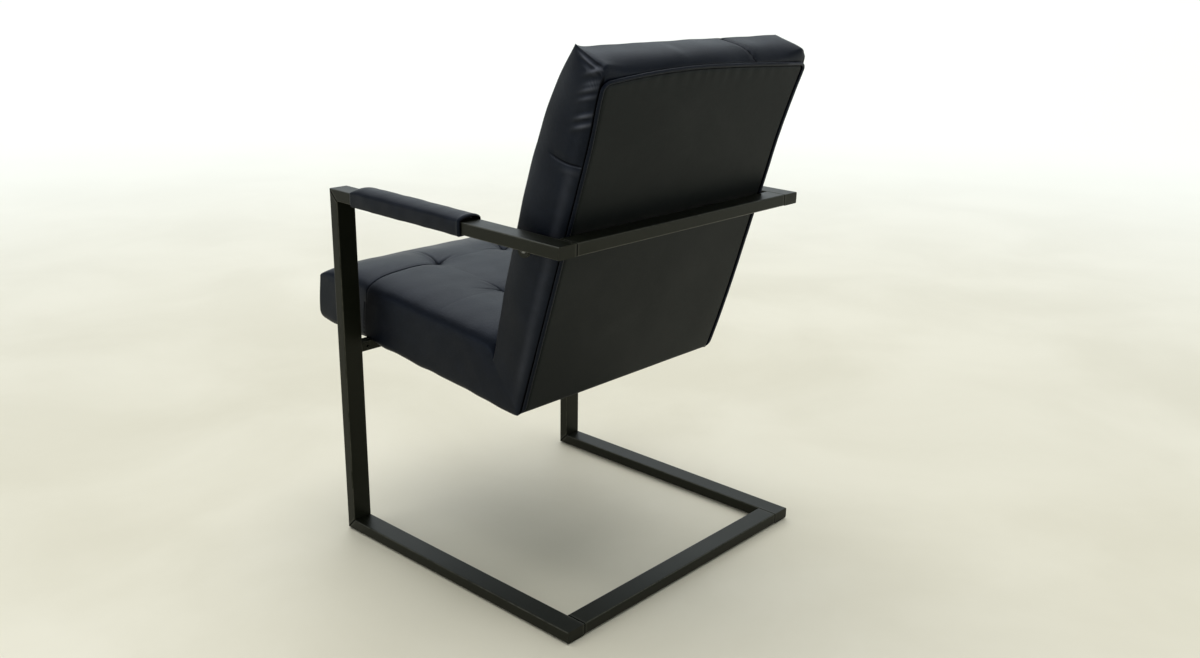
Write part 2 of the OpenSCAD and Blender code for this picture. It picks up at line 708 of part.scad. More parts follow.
left_upright();
right_upright();
left_arm_rail();
right_arm_rail();
left_base_rail();
right_base_rail();
base_crossbar();
back_crossbar();
seat_bar();
rail_end_plates();
left_arm_tab();
right_arm_tab();
side_spacers();
side_bolts();
side_tee_nuts();
seat_bolts();
seat_tee_nuts();
front_left_glide();
front_right_glide();
rear_left_glide();
rear_right_glide();
left_cheek();
right_cheek();
seat_front_rail();
seat_bolt_rail();
seat_rear_rail();
back_lumbar_rail();
back_top_rail();
seat_webbing();
back_webbing();
dust_cover();
seat_cushion();
back_cushion();
rear_panel();
welt_piping();
left_arm_pad();
right_arm_pad();
left_arm_sleeve();
right_arm_sleeve();
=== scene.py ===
"""Dresses the cantilever armchair: leather shell, piping, arm sleeves, painted steel and a plain studio.

Lengths are metres and angles degrees. X runs to the sitter's left, the chair faces -Y and Z is up. The shell
is drawn on two slanted pairs of axes that start at its lower rear corner, one for the seat and one for the
back. On both, the first axis runs to the rear and the second one up, square to it.
"""

import logging
import math
from collections.abc import Sequence
from dataclasses import dataclass
from enum import Enum

import bpy
import numpy as np
from mathutils import Matrix, Vector


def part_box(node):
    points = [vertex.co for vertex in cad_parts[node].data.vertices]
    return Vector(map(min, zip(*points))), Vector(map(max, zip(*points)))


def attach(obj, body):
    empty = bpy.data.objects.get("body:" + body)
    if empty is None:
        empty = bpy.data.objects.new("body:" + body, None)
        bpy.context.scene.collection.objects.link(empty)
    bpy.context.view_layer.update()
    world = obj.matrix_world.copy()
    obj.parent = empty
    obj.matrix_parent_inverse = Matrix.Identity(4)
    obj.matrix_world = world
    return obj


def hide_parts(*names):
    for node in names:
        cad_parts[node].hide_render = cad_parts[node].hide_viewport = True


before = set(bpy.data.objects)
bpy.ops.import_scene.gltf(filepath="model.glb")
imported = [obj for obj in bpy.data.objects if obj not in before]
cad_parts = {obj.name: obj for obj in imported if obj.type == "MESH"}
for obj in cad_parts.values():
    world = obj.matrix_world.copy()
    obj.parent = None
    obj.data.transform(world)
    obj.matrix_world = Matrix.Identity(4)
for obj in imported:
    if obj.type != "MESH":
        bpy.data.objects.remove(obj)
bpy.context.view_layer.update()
LOG = logging.getLogger("armchair")

# Short names for types
Array = np.ndarray
Colour = tuple[float, float, float, float]

# Sockets of the Mix node when it mixes colours
MIX_SHARE, MIX_FIRST, MIX_SECOND, MIX_RESULT = 0, 6, 7, 2
# Fall of the arm rails to the rear
ARM_SLOPE = 1.05
# Place of the seat bar on the seat's axis
SEAT_BAR = -0.398


class Side(Enum):
    """The sitter's side that a piece belongs to, with the sign of its X."""

    LEFT = 1
    RIGHT = -1


class Slot(Enum):
    """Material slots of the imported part."""

    FRAME = "frame_steel"
    ZINC = "zinc_steel"
    GLIDE = "glide_plastic"
    PLYWOOD = "plywood"
    CLOTH = "black_cloth"
    LEATHER = "black_leather"
    PANEL = "panel_leather"
    FOAM = "pad_foam"


class Value:
    """A socket of a shader, with operators that add the maths nodes of an expression."""

    def __init__(self, shader: "Shader", socket: bpy.types.NodeSocket) -> None:
        """Wraps a socket."""
        self.shader = shader
        self.socket = socket

    def maths(self, operation: str, *others: "Value | float") -> "Value":
        """Adds a Math node that starts with this value."""
        return self.shader.node("ShaderNodeMath", {"operation": operation}, dict(enumerate((self, *others))))

    def __add__(self, other: "Value | float") -> "Value":
        """Adds."""
        return self.maths("ADD", other)

    __radd__ = __add__

    def __mul__(self, other: "Value | float") -> "Value":
        """Multiplies."""
        return self.maths("MULTIPLY", other)

    __rmul__ = __mul__

    def __sub__(self, other: "Value | float") -> "Value":
        """Subtracts."""
        return self.maths("SUBTRACT", other)

    def __rsub__(self, other: float) -> "Value":
        """Subtracts this value from a number."""
        return self.shader.node("ShaderNodeMath", {"operation": "SUBTRACT"}, {0: other, 1: self})

    def __truediv__(self, other: "Value | float") -> "Value":
        """Divides."""
        return self.maths("DIVIDE", other)

    def __lt__(self, other: "Value | float") -> "Value":
        """Gives 1 where this value is the smaller one."""
        return self.maths("LESS_THAN", other)

    def __gt__(self, other: "Value | float") -> "Value":
        """Gives 1 where this value is the greater one."""
        return self.maths("GREATER_THAN", other)

    def __abs__(self) -> "Value":
        """Drops the sign."""
        return self.maths("ABSOLUTE")

    def larger(self, other: "Value | float") -> "Value":
        """Gives the larger of two values."""
        return self.maths("MAXIMUM", other)

    def smaller(self, other: "Value | float") -> "Value":
        """Gives the smaller of two values."""
        return self.maths("MINIMUM", other)

    def ramp(self, low: float, high: float) -> "Value":
        """Rises smoothly from 0 at low to 1 at high.

        Args:
            low: The value that gives 0.
            high: The value that gives 1.

        Returns:
            The share, from 0 to 1.
        """
        settings = {"interpolation_type": "SMOOTHSTEP"}
        inputs = {"Value": self, "From Min": low, "From Max": high}
        return self.shader.node("ShaderNodeMapRange", settings, inputs)


class Shader:
    """A material in the making: its node tree and the surface that it ends in."""

    def __init__(self, name: str) -> None:
        """Starts a material.

        Args:
            name: The material's name.
        """
        self.material = bpy.data.materials.new(name)
        self.material.use_nodes = True
        self.tree = self.material.node_tree
        self.surface = self.tree.nodes["Principled BSDF"]

    def node(
        self, kind: str, settings: dict | None = None, inputs: dict | None = None, output: int | str = 0
    ) -> Value:
        """Adds one node.

        Args:
            kind: The node's type.
            settings: Its properties, set first.
            inputs: Values or links of its sockets, by name or number.
            output: The output socket to give back.

        Returns:
            The output socket, wrapped.
        """
        made = self.tree.nodes.new(kind)
        for key, setting in (settings or {}).items():
            setattr(made, key, setting)
        for key, given in (inputs or {}).items():
            self.feed(made.inputs[key], given)
        return Value(self, made.outputs[output])

    def feed(self, socket: bpy.types.NodeSocket, given: "Value | float | Sequence[float]") -> None:
        """Links a socket to a value, or sets it to a number or colour.

        Args:
            socket: The input socket.
            given: What it gets.
        """
        if isinstance(given, Value):
            self.tree.links.new(given.socket, socket)
        else:
            socket.default_value = given

    def set(self, **inputs: "Value | float | Sequence[float]") -> None:
        """Feeds the surface's sockets, whose names have spaces where the arguments have underscores."""
        for key, given in inputs.items():
            self.feed(self.surface.inputs[key.replace("_", " ")], given)

    def place(self) -> Value:
        """Gives the place on the part, in metres."""
        return self.node("ShaderNodeTexCoord", output="Object")

    def axes(self, vector: Value) -> tuple[Value, Value, Value]:
        """Splits a vector into X, Y and Z."""
        first = self.node("ShaderNodeSeparateXYZ", inputs={0: vector})
        return tuple(Value(self, socket) for socket in first.socket.node.outputs)

    def facing(self) -> tuple[Value, ...]:
        """Gives how far a face looks along X, Y and Z, each from 0 to 1."""
        normal = self.node("ShaderNodeNewGeometry", output="True Normal")
        return tuple(abs(part) for part in self.axes(normal))

    def layer(self, name: str) -> Value:
        """Gives the numbers that are stored at the vertices under a name."""
        return self.node("ShaderNodeAttribute", {"attribute_name": name}, output="Fac")

    def stretched(self, vector: Value, factors: Sequence[float]) -> Value:
        """Multiplies a place by one factor for each axis."""
        return self.node("ShaderNodeVectorMath", {"operation": "MULTIPLY"}, {0: vector, 1: tuple(factors)})

    def noise(self, vector: Value, scale: float, detail: float = 2.0, distortion: float = 0.0) -> Value:
        """Gives soft noise from 0 to 1."""
        inputs = {"Vector": vector, "Scale": scale, "Detail": detail, "Distortion": distortion}
        return self.node("ShaderNodeTexNoise", inputs=inputs)

    def cells(self, vector: Value, scale: float) -> Value:
        """Gives the distance from the middle of the nearest cell in a pattern."""
        inputs = {"Vector": vector, "Scale": scale}
        return self.node("ShaderNodeTexVoronoi", inputs=inputs, output="Distance")

    def blend(
        self, share: "Value | float", first: Sequence[float] | Value, second: Sequence[float] | Value
    ) -> Value:
        """Mixes two colours."""
        inputs = {MIX_SHARE: share, MIX_FIRST: first, MIX_SECOND: second}
        return self.node("ShaderNodeMix", {"data_type": "RGBA"}, inputs, MIX_RESULT)

    def bump(self, height: Value, depth: float, strength: float = 1.0, below: Value | None = None) -> Value:
        """Turns a height into a normal.

        Args:
            height: The height, about 0 to 1.
            depth: What a height of 1 stands for, in metres.
            strength: How much it counts.
            below: A normal to start from.

        Returns:
            The normal.
        """
        inputs = {"Height": height, "Distance": depth, "Strength": strength}
        if below is not None:
            inputs["Normal"] = below
        return self.node("ShaderNodeBump", inputs=inputs)

    def pit(self, share: Value, level: float = 0.0012) -> None:
        """Mixes a dull black into the finished surface, where hardly any light gets in.

        Args:
            share: How much of it.
            level: How black it is.
        """
        dull = self.node("ShaderNodeBsdfDiffuse", inputs={"Color": grey(level)})
        inputs = {0: share, 1: Value(self, self.surface.outputs[0]), 2: dull}
        mixed = self.node("ShaderNodeMixShader", inputs=inputs)
        self.feed(self.tree.nodes["Material Output"].inputs["Surface"], mixed)


def grey(level: float) -> Colour:
    """Gives a neutral colour."""
    return (level, level, level, 1.0)


@dataclass(frozen=True)
class Leather:
    """Waxed grained leather with random rubbed patches, painted shade in its seams and painted highlights."""

    # Its name, its darkest colour and its colour where it is rubbed
    name: str
    deep: Colour
    rubbed: Colour
    # Roughness of the smooth parts, and the size and height of the grain
    gloss: float
    grain: float
    relief: float
    # Tint of its reflections, and its refractive index, low for dull wax
    sheen: Colour
    index: float
    # Its colour for painted highlights on crests and edges, and its colour for painted shade down in seams
    highlight_and_wear: Colour = (0.105, 0.108, 0.125, 1.0)
    pit: Colour = (0.002, 0.002, 0.003, 1.0)

    def build(self) -> bpy.types.Material:
        """Makes the material.

        Returns:
            The material.
        """
        s = Shader(self.name)
        place = s.place()
        seam, wear = s.layer("seam"), s.layer("wear")
        patches = s.noise(place, 9.0, 3.0, 0.6)
        mottle = s.noise(place, 60.0, 4.0, 0.3)
        wrinkle = s.noise(s.stretched(place, (1.0, 1.0, 1.6)), 130.0, 5.0, 1.4)
        pebbles = s.cells(place, 1.0 / self.grain)
        pores = s.cells(place, 2.6 / self.grain)
        rubbed = (patches * 0.7 + mottle * 0.5).ramp(0.45, 0.85)
        open_leather = 1.0 - seam
        colour = s.blend(rubbed * 0.75 * open_leather, self.deep, self.rubbed)
        # Painted highlight: the leather is made paler on crests, gathers and edges that catch the light
        colour = s.blend(wear * (0.7 + mottle * 0.5), colour, self.highlight_and_wear)
        # Painted shade: seams, creases and gaps turn near black and lose their gloss
        s.set(Base_Color=s.blend(seam * 0.8, colour, self.pit))
        s.set(Roughness=self.gloss + mottle * 0.1 + wrinkle * 0.05 - rubbed * 0.05 + seam * 0.25)
        height = 1.0 - pebbles * 0.75 + pores * 0.12 + wrinkle.ramp(0.35, 0.6) * 0.5
        s.set(Normal=s.bump(height, self.relief, 0.55))
        s.set(IOR=self.index, Specular_Tint=self.sheen)
        s.pit(seam * 0.9)
        return s.material


@dataclass(frozen=True)
class PaintedSteel:
    """Bronze paint on welded tube: dark butt grooves, painted highlights on groove lips and rubbed edges."""

    # The crossbars' joints, the rails' rear ends, the tube's width, the uprights' front and top
    joint_x: float
    arm_rear: float
    base_rear: float
    tube: float
    front: float
    arm_top: float
    # The paint's colour, its colour where it lies thicker, and its colour on rubbed edges with painted
    # highlight
    paint: Colour = (0.0056, 0.0062, 0.0034, 1.0)
    cloud: Colour = (0.0085, 0.0088, 0.0052, 1.0)
    highlight_and_wear: Colour = (0.085, 0.084, 0.066, 1.0)
    # Width of the line where two tubes are butted, and how far behind the front it shows
    groove: float = 0.0010
    wall: float = 0.0205
    # Heights that only the arm rails' joints lie over, and only the base rails' lie under
    over_seat: float = 0.5
    near_floor: float = 0.1
    # How far from the crossbars and the corners the lines end, and the foot's gap to the floor
    arm_clear: float = 0.004
    base_clear: float = 0.001
    mitre_clear: float = 0.03
    foot_gap: float = 0.002

    def joint(self, x: Value, y: Value, z: Value, side_face: Value) -> Value:
        """Gives the distance from the nearest butt or mitre line, where the face shows one.

        Args:
            x: Place across.
            y: Place front to rear.
            z: Height.
            side_face: 1 on faces that look sideways.

        Returns:
            The distance in metres, large where there is no line.
        """
        butt = abs(abs(x) - self.joint_x)
        at_arm = (y > self.arm_rear - self.tube - self.arm_clear) * (z > self.over_seat)
        at_base = (y > self.base_rear - self.tube - self.base_clear) * (z < self.near_floor)
        far_butt = 1.0 - at_arm.larger(at_base) * (1.0 - side_face)
        square = math.sqrt(0.5)
        mitre = abs((y - self.front) + (z - self.arm_top)) * square
        foot = abs((y - self.front) - z + self.foot_gap) * square
        near_front = y < self.front + self.wall
        far_mitre = 1.0 - near_front * side_face
        top = (mitre + (z < self.arm_top - self.mitre_clear)).smaller(foot + (z > self.mitre_clear))
        return (butt + far_butt).smaller(top + far_mitre)

    def build(self) -> bpy.types.Material:
        """Makes the material.

        Returns:
            The material.
        """
        s = Shader("Bronze_Paint_On_Steel")
        place = s.place()
        x, y, z = s.axes(place)
        nx, ny, nz = s.facing()
        edge = 1.0 - nx.larger(ny).larger(nz)
        scratch = s.noise(s.stretched(place, (1.0, 0.35, 0.35)), 240.0, 4.0, 0.5)
        cloud = s.noise(place, 14.0, 3.0, 0.4)
        # Rounded edges turn paler, from rubbed paint and a painted highlight
        highlight_and_wear = edge.ramp(0.01, 0.12) * (scratch * 0.6 + cloud * 0.7).ramp(0.35, 0.8)
        line = self.joint(x, y, z, nx > 0.5)
        dark = 1.0 - line.ramp(self.groove * 0.6, self.groove * 1.5)
        # Painted highlight: a thin pale line along each lip of the groove
        past_lip = line.ramp(self.groove * 2.5, self.groove * 6.0)
        lip = line.ramp(self.groove, self.groove * 2.0) * (1.0 - past_lip)
        colour = s.blend((highlight_and_wear * 0.55).larger(lip * 0.25), self.paint, self.highlight_and_wear)
        colour = s.blend(cloud.ramp(0.4, 0.8) * 0.35, colour, self.cloud)
        s.set(Base_Color=s.blend(dark * 0.9, colour, grey(0.002)))
        s.set(Roughness=0.28 + cloud * 0.12 + scratch * 0.08 - highlight_and_wear * 0.04 + dark * 0.3)
        s.pit(dark * 0.8)
        orange_peel = s.noise(place, 900.0, 2.0)
        peel = s.bump(orange_peel, 0.00006, 0.5)
        s.set(Normal=s.bump(1.0 - dark, 0.0005, 0.8, peel))
        s.set(IOR=1.25, Specular_Tint=(1.0, 1.0, 0.86, 1.0))
        return s.material


@dataclass(frozen=True)
class PlatedSteel:
    """Zinc-plated fastener steel."""

    name: str = "Zinc_Plated_Steel"
    dull: Colour = (0.16, 0.165, 0.17, 1.0)
    bright: Colour = (0.30, 0.305, 0.31, 1.0)

    def build(self) -> bpy.types.Material:
        """Makes the material.

        Returns:
            The material.
        """
        s = Shader(self.name)
        place = s.place()
        flow = s.noise(place, 420.0, 4.0, 0.8)
        brushed = s.noise(s.stretched(place, (0.2, 1.0, 1.0)), 2600.0, 2.0)
        s.set(Base_Color=s.blend(flow, self.dull, self.bright))
        s.set(Roughness=0.28 + flow * 0.2, Metallic=1.0)
        s.set(Normal=s.bump(brushed, 0.00003, 0.4))
        return s.material


@dataclass(frozen=True)
class MouldedPlastic:
    """Black moulded plastic with a fine spark finish."""

    name: str = "Black_Glide_Plastic"

    def build(self) -> bpy.types.Material:
        """Makes the material.

        Returns:
            The material.
        """
        s = Shader(self.name)
        place = s.place()
        spark = s.noise(place, 1900.0, 3.0)
        scuff = s.noise(place, 160.0, 4.0, 0.6).ramp(0.5, 0.8)
        s.set(Base_Color=s.blend(scuff * 0.5, grey(0.012), grey(0.05)))
        s.set(Roughness=0.5 + spark * 0.15 + scuff * 0.1)
        s.set(Normal=s.bump(spark, 0.00008, 0.5))
        return s.material


@dataclass(frozen=True)
class Plywood:
    """Birch plywood: long grain on its faces and plies on its edges."""

    name: str = "Birch_Plywood"
    ply: float = 0.0015
    early: Colour = (0.55, 0.38, 0.20, 1.0)
    late: Colour = (0.72, 0.55, 0.34, 1.0)
    glue: Colour = (0.33, 0.20, 0.10, 1.0)

    def build(self) -> bpy.types.Material:
        """Makes the material.

        Returns:
            The material.
        """
        s = Shader(self.name)
        place = s.place()
        x = s.axes(place)[0]
        face = s.facing()[0] > 0.5
        grain = s.noise(s.stretched(place, (1.0, 0.12, 0.12)), 300.0, 5.0, 0.7)
        plies = (x / self.ply).maths("FRACT").ramp(0.35, 0.65) * (1.0 - face)
        wood = s.blend(grain.ramp(0.3, 0.75), self.early, self.late)
        s.set(Base_Color=s.blend(plies * 0.55, wood, self.glue))
        s.set(Roughness=0.62 + grain * 0.15)
        s.set(Normal=s.bump(grain + plies * 0.4, 0.0002, 0.4))
        return s.material


@dataclass(frozen=True)
class WovenCloth:
    """Plain black woven cloth, for webbing and the cover under the seat."""

    name: str = "Black_Woven_Cloth"
    thread: float = 0.0009

    def build(self) -> bpy.types.Material:
        """Makes the material.

        Returns:
            The material.
        """
        s = Shader(self.name)
        x, y, z = s.axes(s.place())
        turn = math.pi / self.thread
        warp = (x * turn).maths("SINE")
        weft = ((y + z * 0.5) * turn).maths("SINE")
        over = (warp * weft).ramp(-0.6, 0.6)
        lint = s.noise(s.place(), 420.0, 4.0)
        s.set(Base_Color=s.blend(over * 0.6 + lint * 0.4, grey(0.008), grey(0.030)))
        s.set(Roughness=0.86 + lint * 0.1)
        s.set(Normal=s.bump(abs(warp) * 0.5 + abs(weft) * 0.5, 0.0002, 0.6))
        s.set(Sheen_Weight=0.2)
        return s.material


@dataclass(frozen=True)
class OpenFoam:
    """Charcoal upholstery foam with open cells."""

    name: str = "Charcoal_Foam"

    def build(self) -> bpy.types.Material:
        """Makes the material.

        Returns:
            The material.
        """
        s = Shader(self.name)
        place = s.place()
        pores = s.cells(place, 900.0)
        stain = s.noise(place, 30.0, 3.0)
        s.set(Base_Color=s.blend(pores.ramp(0.2, 0.8), grey(0.018), grey(0.060)))
        s.set(Roughness=0.9 + stain * 0.08)
        s.set(Normal=s.bump(1.0 - pores, 0.0004, 0.8))
        return s.material


@dataclass(frozen=True)
class PaleFloor:
    """A plain pale studio floor with a faint cloudiness and painted light: it whitens away from the chair."""

    # Its name, its two colours near the chair and its colour far away
    name: str = "Pale_Studio_Floor"
    dark: Colour = (0.66, 0.61, 0.47, 1.0)
    light: Colour = (0.74, 0.69, 0.55, 1.0)
    far: Colour = (0.93, 0.92, 0.84, 1.0)
    # Distances from the chair where the painted light starts to whiten it and where it is white
    near_reach: float = 0.6
    far_reach: float = 6.0

    def build(self) -> bpy.types.Material:
        """Makes the material.

        Returns:
            The material.
        """
        s = Shader(self.name)
        place = s.place()
        x, y, _ = s.axes(place)
        cloud = s.noise(place, 1.6, 5.0, 0.4)
        fine = s.noise(place, 45.0, 4.0)
        # Painted light: the floor whitens with the distance from the chair
        far = (x * x + y * y).maths("SQRT").ramp(self.near_reach, self.far_reach)
        near = s.blend(cloud.ramp(0.3, 0.7), self.dark, self.light)
        s.set(Base_Color=s.blend(far, near, self.far))
        s.set(Roughness=0.5 + fine * 0.15 + cloud * 0.1)
        s.set(Normal=s.bump(fine, 0.0004, 0.15))
        return s.material


class Finishes:
    """Every finish, built once."""

    def __init__(self, steel: PaintedSteel) -> None:
        """Builds the finishes.

        Args:
            steel: The frame's paint, which knows where the joints are.
        """
        self.leather = Leather(
            "Blue_Black_Leather",
            deep=(0.0014, 0.0020, 0.0040, 1.0),
            rubbed=(0.0032, 0.0046, 0.0090, 1.0),
            gloss=0.35,
            grain=0.0011,
            relief=0.00022,
            sheen=(0.66, 0.78, 1.0, 1.0),
            index=1.24,
        ).build()
        self.panel = Leather(
            "Black_Panel_Leather",
            deep=(0.0022, 0.0028, 0.0026, 1.0),
            rubbed=(0.0040, 0.0048, 0.0044, 1.0),
            gloss=0.44,
            grain=0.0009,
            relief=0.00016,
            sheen=(0.85, 0.97, 1.0, 1.0),
            index=1.24,
        ).build()
        self.steel = steel.build()
        self.zinc = PlatedSteel().build()
        self.plastic = MouldedPlastic().build()
        self.plywood = Plywood().build()
        self.cloth = WovenCloth().build()
        self.foam = OpenFoam().build()
        self.floor = PaleFloor().build()


@dataclass(frozen=True)
class Slant:
    """Slanted axes in the side view.

    Attributes:
        y: The origin's place front to rear.
        z: The origin's height.
        tilt: How far the up axis tips to the rear.
    """

    y: float
    z: float
    tilt: float

    def place(self, x: Array, back: Array, up: Array) -> Array:
        """Gives points of the part.

        Args:
            x: Places across.
            back: Places along the slanted axis to the rear.
            up: Places along the slanted axis up.

        Returns:
            An array whose last axis holds X, Y and Z.
        """
        x, back, up = np.broadcast_arrays(x, back, up)
        lean = math.radians(self.tilt)
        y = self.y + back * math.cos(lean) + up * math.sin(lean)
        z = self.z - back * math.sin(lean) + up * math.cos(lean)
        return np.stack([x, y, z], axis=-1)

    def read(self, points: Array) -> tuple[Array, Array]:
        """Gives where points of the part lie on the slanted axes.

        Args:
            points: An array whose last axis holds X, Y and Z.

        Returns:
            The places along the axis to the rear and along the axis up.
        """
        lean = math.radians(self.tilt)
        y, z = points[..., 1] - self.y, points[..., 2] - self.z
        return y * math.cos(lean) - z * math.sin(lean), y * math.sin(lean) + z * math.cos(lean)

    @property
    def up_way(self) -> Array:
        """The up axis, as a unit vector."""
        return np.array([0.0, math.sin(math.radians(self.tilt)), math.cos(math.radians(self.tilt))])


def roll(distance: Array, reach: float, power: float = 2.0) -> Array:
    """Gives a rounding that rises from 0 at an edge to 1 at its reach."""
    left = 1.0 - np.clip(distance / reach, 0.0, 1.0)
    return (1.0 - left**power) ** (1.0 / power)


def bell(distance: Array, width: float) -> Array:
    """Gives 1 at 0 and falls off like a bell."""
    return np.exp(-((distance / width) ** 2))


def ramp(places: Array, start: float, end: float) -> Array:
    """Rises evenly from 0 at start to 1 at end, which may lie on either side of it."""
    return np.clip((places - start) / (end - start), 0.0, 1.0)


def waves(places: Array, lines: Sequence[float]) -> Array:
    """Rises from 0 to 1 and falls again between each two lines.

    Args:
        places: Where to look.
        lines: The lines, in any order.

    Returns:
        The rise at each place.
    """
    lines = np.sort(np.array(lines))
    at = np.clip(np.searchsorted(lines, places) - 1, 0, len(lines) - 2)
    return np.sin(np.pi * np.clip((places - lines[at]) / (lines[at + 1] - lines[at]), 0.0, 1.0))


def rounded(places: Array, end: float, side: float, bend: float) -> Array:
    """Follows a rectangle's side round its corner."""
    past = np.clip(places - (end - bend), 0.0, bend)
    return side - bend + np.sqrt(np.maximum(bend**2 - past**2, 0.0))


def patch(first: Array, last: Array, left: Array, right: Array, s: Array, t: Array) -> Array:
    """Fills the space between four edges.

    Args:
        first: The edge at s = 0, along t.
        last: The edge at s = 1, along t.
        left: The edge at t = 0, along s.
        right: The edge at t = 1, along s.
        s: Places along left and right.
        t: Places along first and last.

    Returns:
        The points, as rows along s of columns along t.
    """
    s, t = s[:, None, None], t[None, :, None]
    ruled = (1.0 - s) * first[None] + s * last[None] + (1.0 - t) * left[:, None] + t * right[:, None]
    start, end = (1.0 - t) * first[0] + t * first[-1], (1.0 - t) * last[0] + t * last[-1]
    return ruled - (1.0 - s) * start - s * end


def spaced(start: float, end: float, coarse: float, spots: Sequence[tuple[float, float, float]]) -> Array:
    """Places grid lines, closer together near some spots.

    Args:
        start: The first line.
        end: The last line.
        coarse: Widest spacing.
        spots: For each spot its place, its reach and the spacing there.

    Returns:
        The lines, in order from start to end.
    """
    at = np.linspace(start, end, 6001)
    step = np.full_like(at, coarse)
    for spot, reach, fine in spots:
        near = np.clip(np.abs(at - spot) / reach, 0.0, 1.0)
        step = np.minimum(step, fine + (coarse - fine) * near**1.5)
    count = np.concatenate([[0.0], np.cumsum(np.abs(np.diff(at)) / ((step[1:] + step[:-1]) / 2))])
    lines = np.interp(np.linspace(0.0, count[-1], math.ceil(count[-1]) + 1), count, at)
    for spot, _, _ in spots:
        lines[np.argmin(np.abs(lines - spot))] = min(max(spot, min(start, end)), max(start, end))
    lines[0], lines[-1] = start, end
    return lines


def ripple(points: Array) -> Array:
    """Gives the slow unevenness of stretched leather.

    Args:
        points: Places on it.

    Returns:
        Its height at each, from about -1 to 1.
    """
    waves = (
        ((61.0, 23.0, 37.0), 0.4, 0.34),
        ((-34.0, 58.0, 71.0), 1.9, 0.30),
        ((97.0, -45.0, 28.0), 3.1, 0.20),
        ((21.0, 113.0, -64.0), 5.2, 0.16),
    )
    return sum(size * np.sin(points @ np.array(way) + phase) for way, phase, size in waves)


def make_object(
    name: str, points: Array, faces: Sequence[Sequence[int]], material: bpy.types.Material
) -> bpy.types.Object:
    """Makes a smoothly shaded object.

    Args:
        name: Its name.
        points: Its vertices.
        faces: Its faces, as vertex numbers, seen from outside.
        material: Its material.

    Returns:
        The object, in the scene.
    """
    mesh = bpy.data.meshes.new(name)
    mesh.from_pydata([tuple(map(float, p)) for p in points], [], [list(map(int, f)) for f in faces])
    mesh.validate()
    mesh.polygons.foreach_set("use_smooth", [True] * len(mesh.polygons))
    mesh.materials.append(material)
    made = bpy.data.objects.new(name, mesh)
    bpy.context.scene.collection.objects.link(made)
    return made


def grid_faces(numbers: Array) -> list[tuple[int, int, int, int]]:
    """Gives the faces of a grid of vertex numbers, seen with rows down and columns to the right."""
    a, b, c, d = numbers[:-1, :-1], numbers[1:, :-1], numbers[1:, 1:], numbers[:-1, 1:]
    return list(zip(a.ravel(), b.ravel(), c.ravel(), d.ravel()))


def numbered(first: int, rows: int, cols: int) -> Array:
    """Gives a grid of vertex numbers that count on from the first."""
    return first + np.arange(rows * cols).reshape(rows, cols)


def closed(numbers: Array) -> Array:
    """Closes a grid of vertex numbers round on itself."""
    return np.concatenate([numbers, numbers[:, :1]], axis=1)


def framed(first: int, rows: int, left: Array, right: Array, last: Array) -> Array:
    """Gives a grid of vertex numbers whose sides and last row are vertices of other grids.

    Args:
        first: The first number of the grid's own vertices.
        rows: How many rows it has.
        left: Its first column.
        right: Its last column.
        last: Its last row.

    Returns:
        The vertex numbers, as rows of columns.
    """
    numbers = np.empty((rows, len(last)), int)
    numbers[:, 0], numbers[:, -1], numbers[-1] = left, right, last
    numbers[:-1, 1:-1] = numbered(first, rows - 1, len(last) - 2)
    return numbers


def slab_faces(rows: int, cols: int, flipped: bool = False) -> list[Sequence[int]]:
    """Closes a slab between two grids of vertices, the outer one first.

    Args:
        rows: Rows of each grid.
        cols: Columns of each grid.
        flipped: Whether the outer grid is seen with its columns to the left.

    Returns:
        The faces.
    """
    outer, inner = numbered(0, 2 * rows, cols).reshape(2, rows, cols)[..., :: -1 if flipped else 1]
    rim = [
        np.concatenate([grid[0], grid[1:, -1], grid[-1, -2::-1], grid[-2::-1, 0]]) for grid in (inner, outer)
    ]
    return grid_faces(outer) + grid_faces(inner[:, ::-1]) + grid_faces(np.array(rim))


def normals_of(points: Array, faces: Sequence[Sequence[int]]) -> Array:
    """Gives each vertex's normal, from faces of four corners.

    Args:
        points: The vertices.
        faces: The faces.

    Returns:
        Unit normals.
    """
    quads = np.array([f for f in faces if len(f) == 4])
    corners = points[quads]
    across = np.cross(corners[:, 2] - corners[:, 0], corners[:, 3] - corners[:, 1])
    total = np.zeros_like(points)
    for corner in range(4):
        np.add.at(total, quads[:, corner], across)
    return total / np.maximum(np.linalg.norm(total, axis=1, keepdims=True), 1e-12)


def mark(piece: bpy.types.Object, **layers: Array) -> None:
    """Stores numbers at a piece's vertices, which its material reads.

    Args:
        piece: The object.
        layers: The numbers, from 0 to 1, under the names that the material reads.
    """
    for name, values in layers.items():
        layer = piece.data.attributes.new(name, "FLOAT", "POINT")
        layer.data.foreach_set("value", np.clip(values, 0.0, 1.0).astype(np.float32).ravel())


def finish_piece(
    piece: bpy.types.Object, replaces: Sequence[str] = ()
) -> bpy.types.Object:
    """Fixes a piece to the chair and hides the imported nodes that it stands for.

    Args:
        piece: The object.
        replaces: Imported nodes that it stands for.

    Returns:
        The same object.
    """
    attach(piece, "root")
    if replaces:
        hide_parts(*replaces)
    LOG.info("%s: %d faces", piece.name, len(piece.data.polygons))
    return piece


@dataclass(frozen=True)
class Bump:
    """A rise shaped like a bell, or a dip where its height is below 0.

    Attributes:
        at: Place of its middle.
        width: How far it reaches to either side.
        height: Its height.
    """

    at: float
    width: float
    height: float

    def over(self, places: Array) -> Array:
        """Gives its height at some places."""
        return self.height * bell(places - self.at, self.width)


@dataclass(frozen=True)
class Mound:
    """A bump along a line, which fades towards both ends of the line.

    Attributes:
        across: Its profile across the line.
        middle: Where along the line it is highest.
        reach: How far along the line it reaches.
    """

    across: Bump
    middle: float
    reach: float

    def over(self, beside: Array, along: Array) -> Array:
        """Gives its height at places beside and along the line."""
        return self.across.over(beside) * bell(along - self.middle, self.reach)


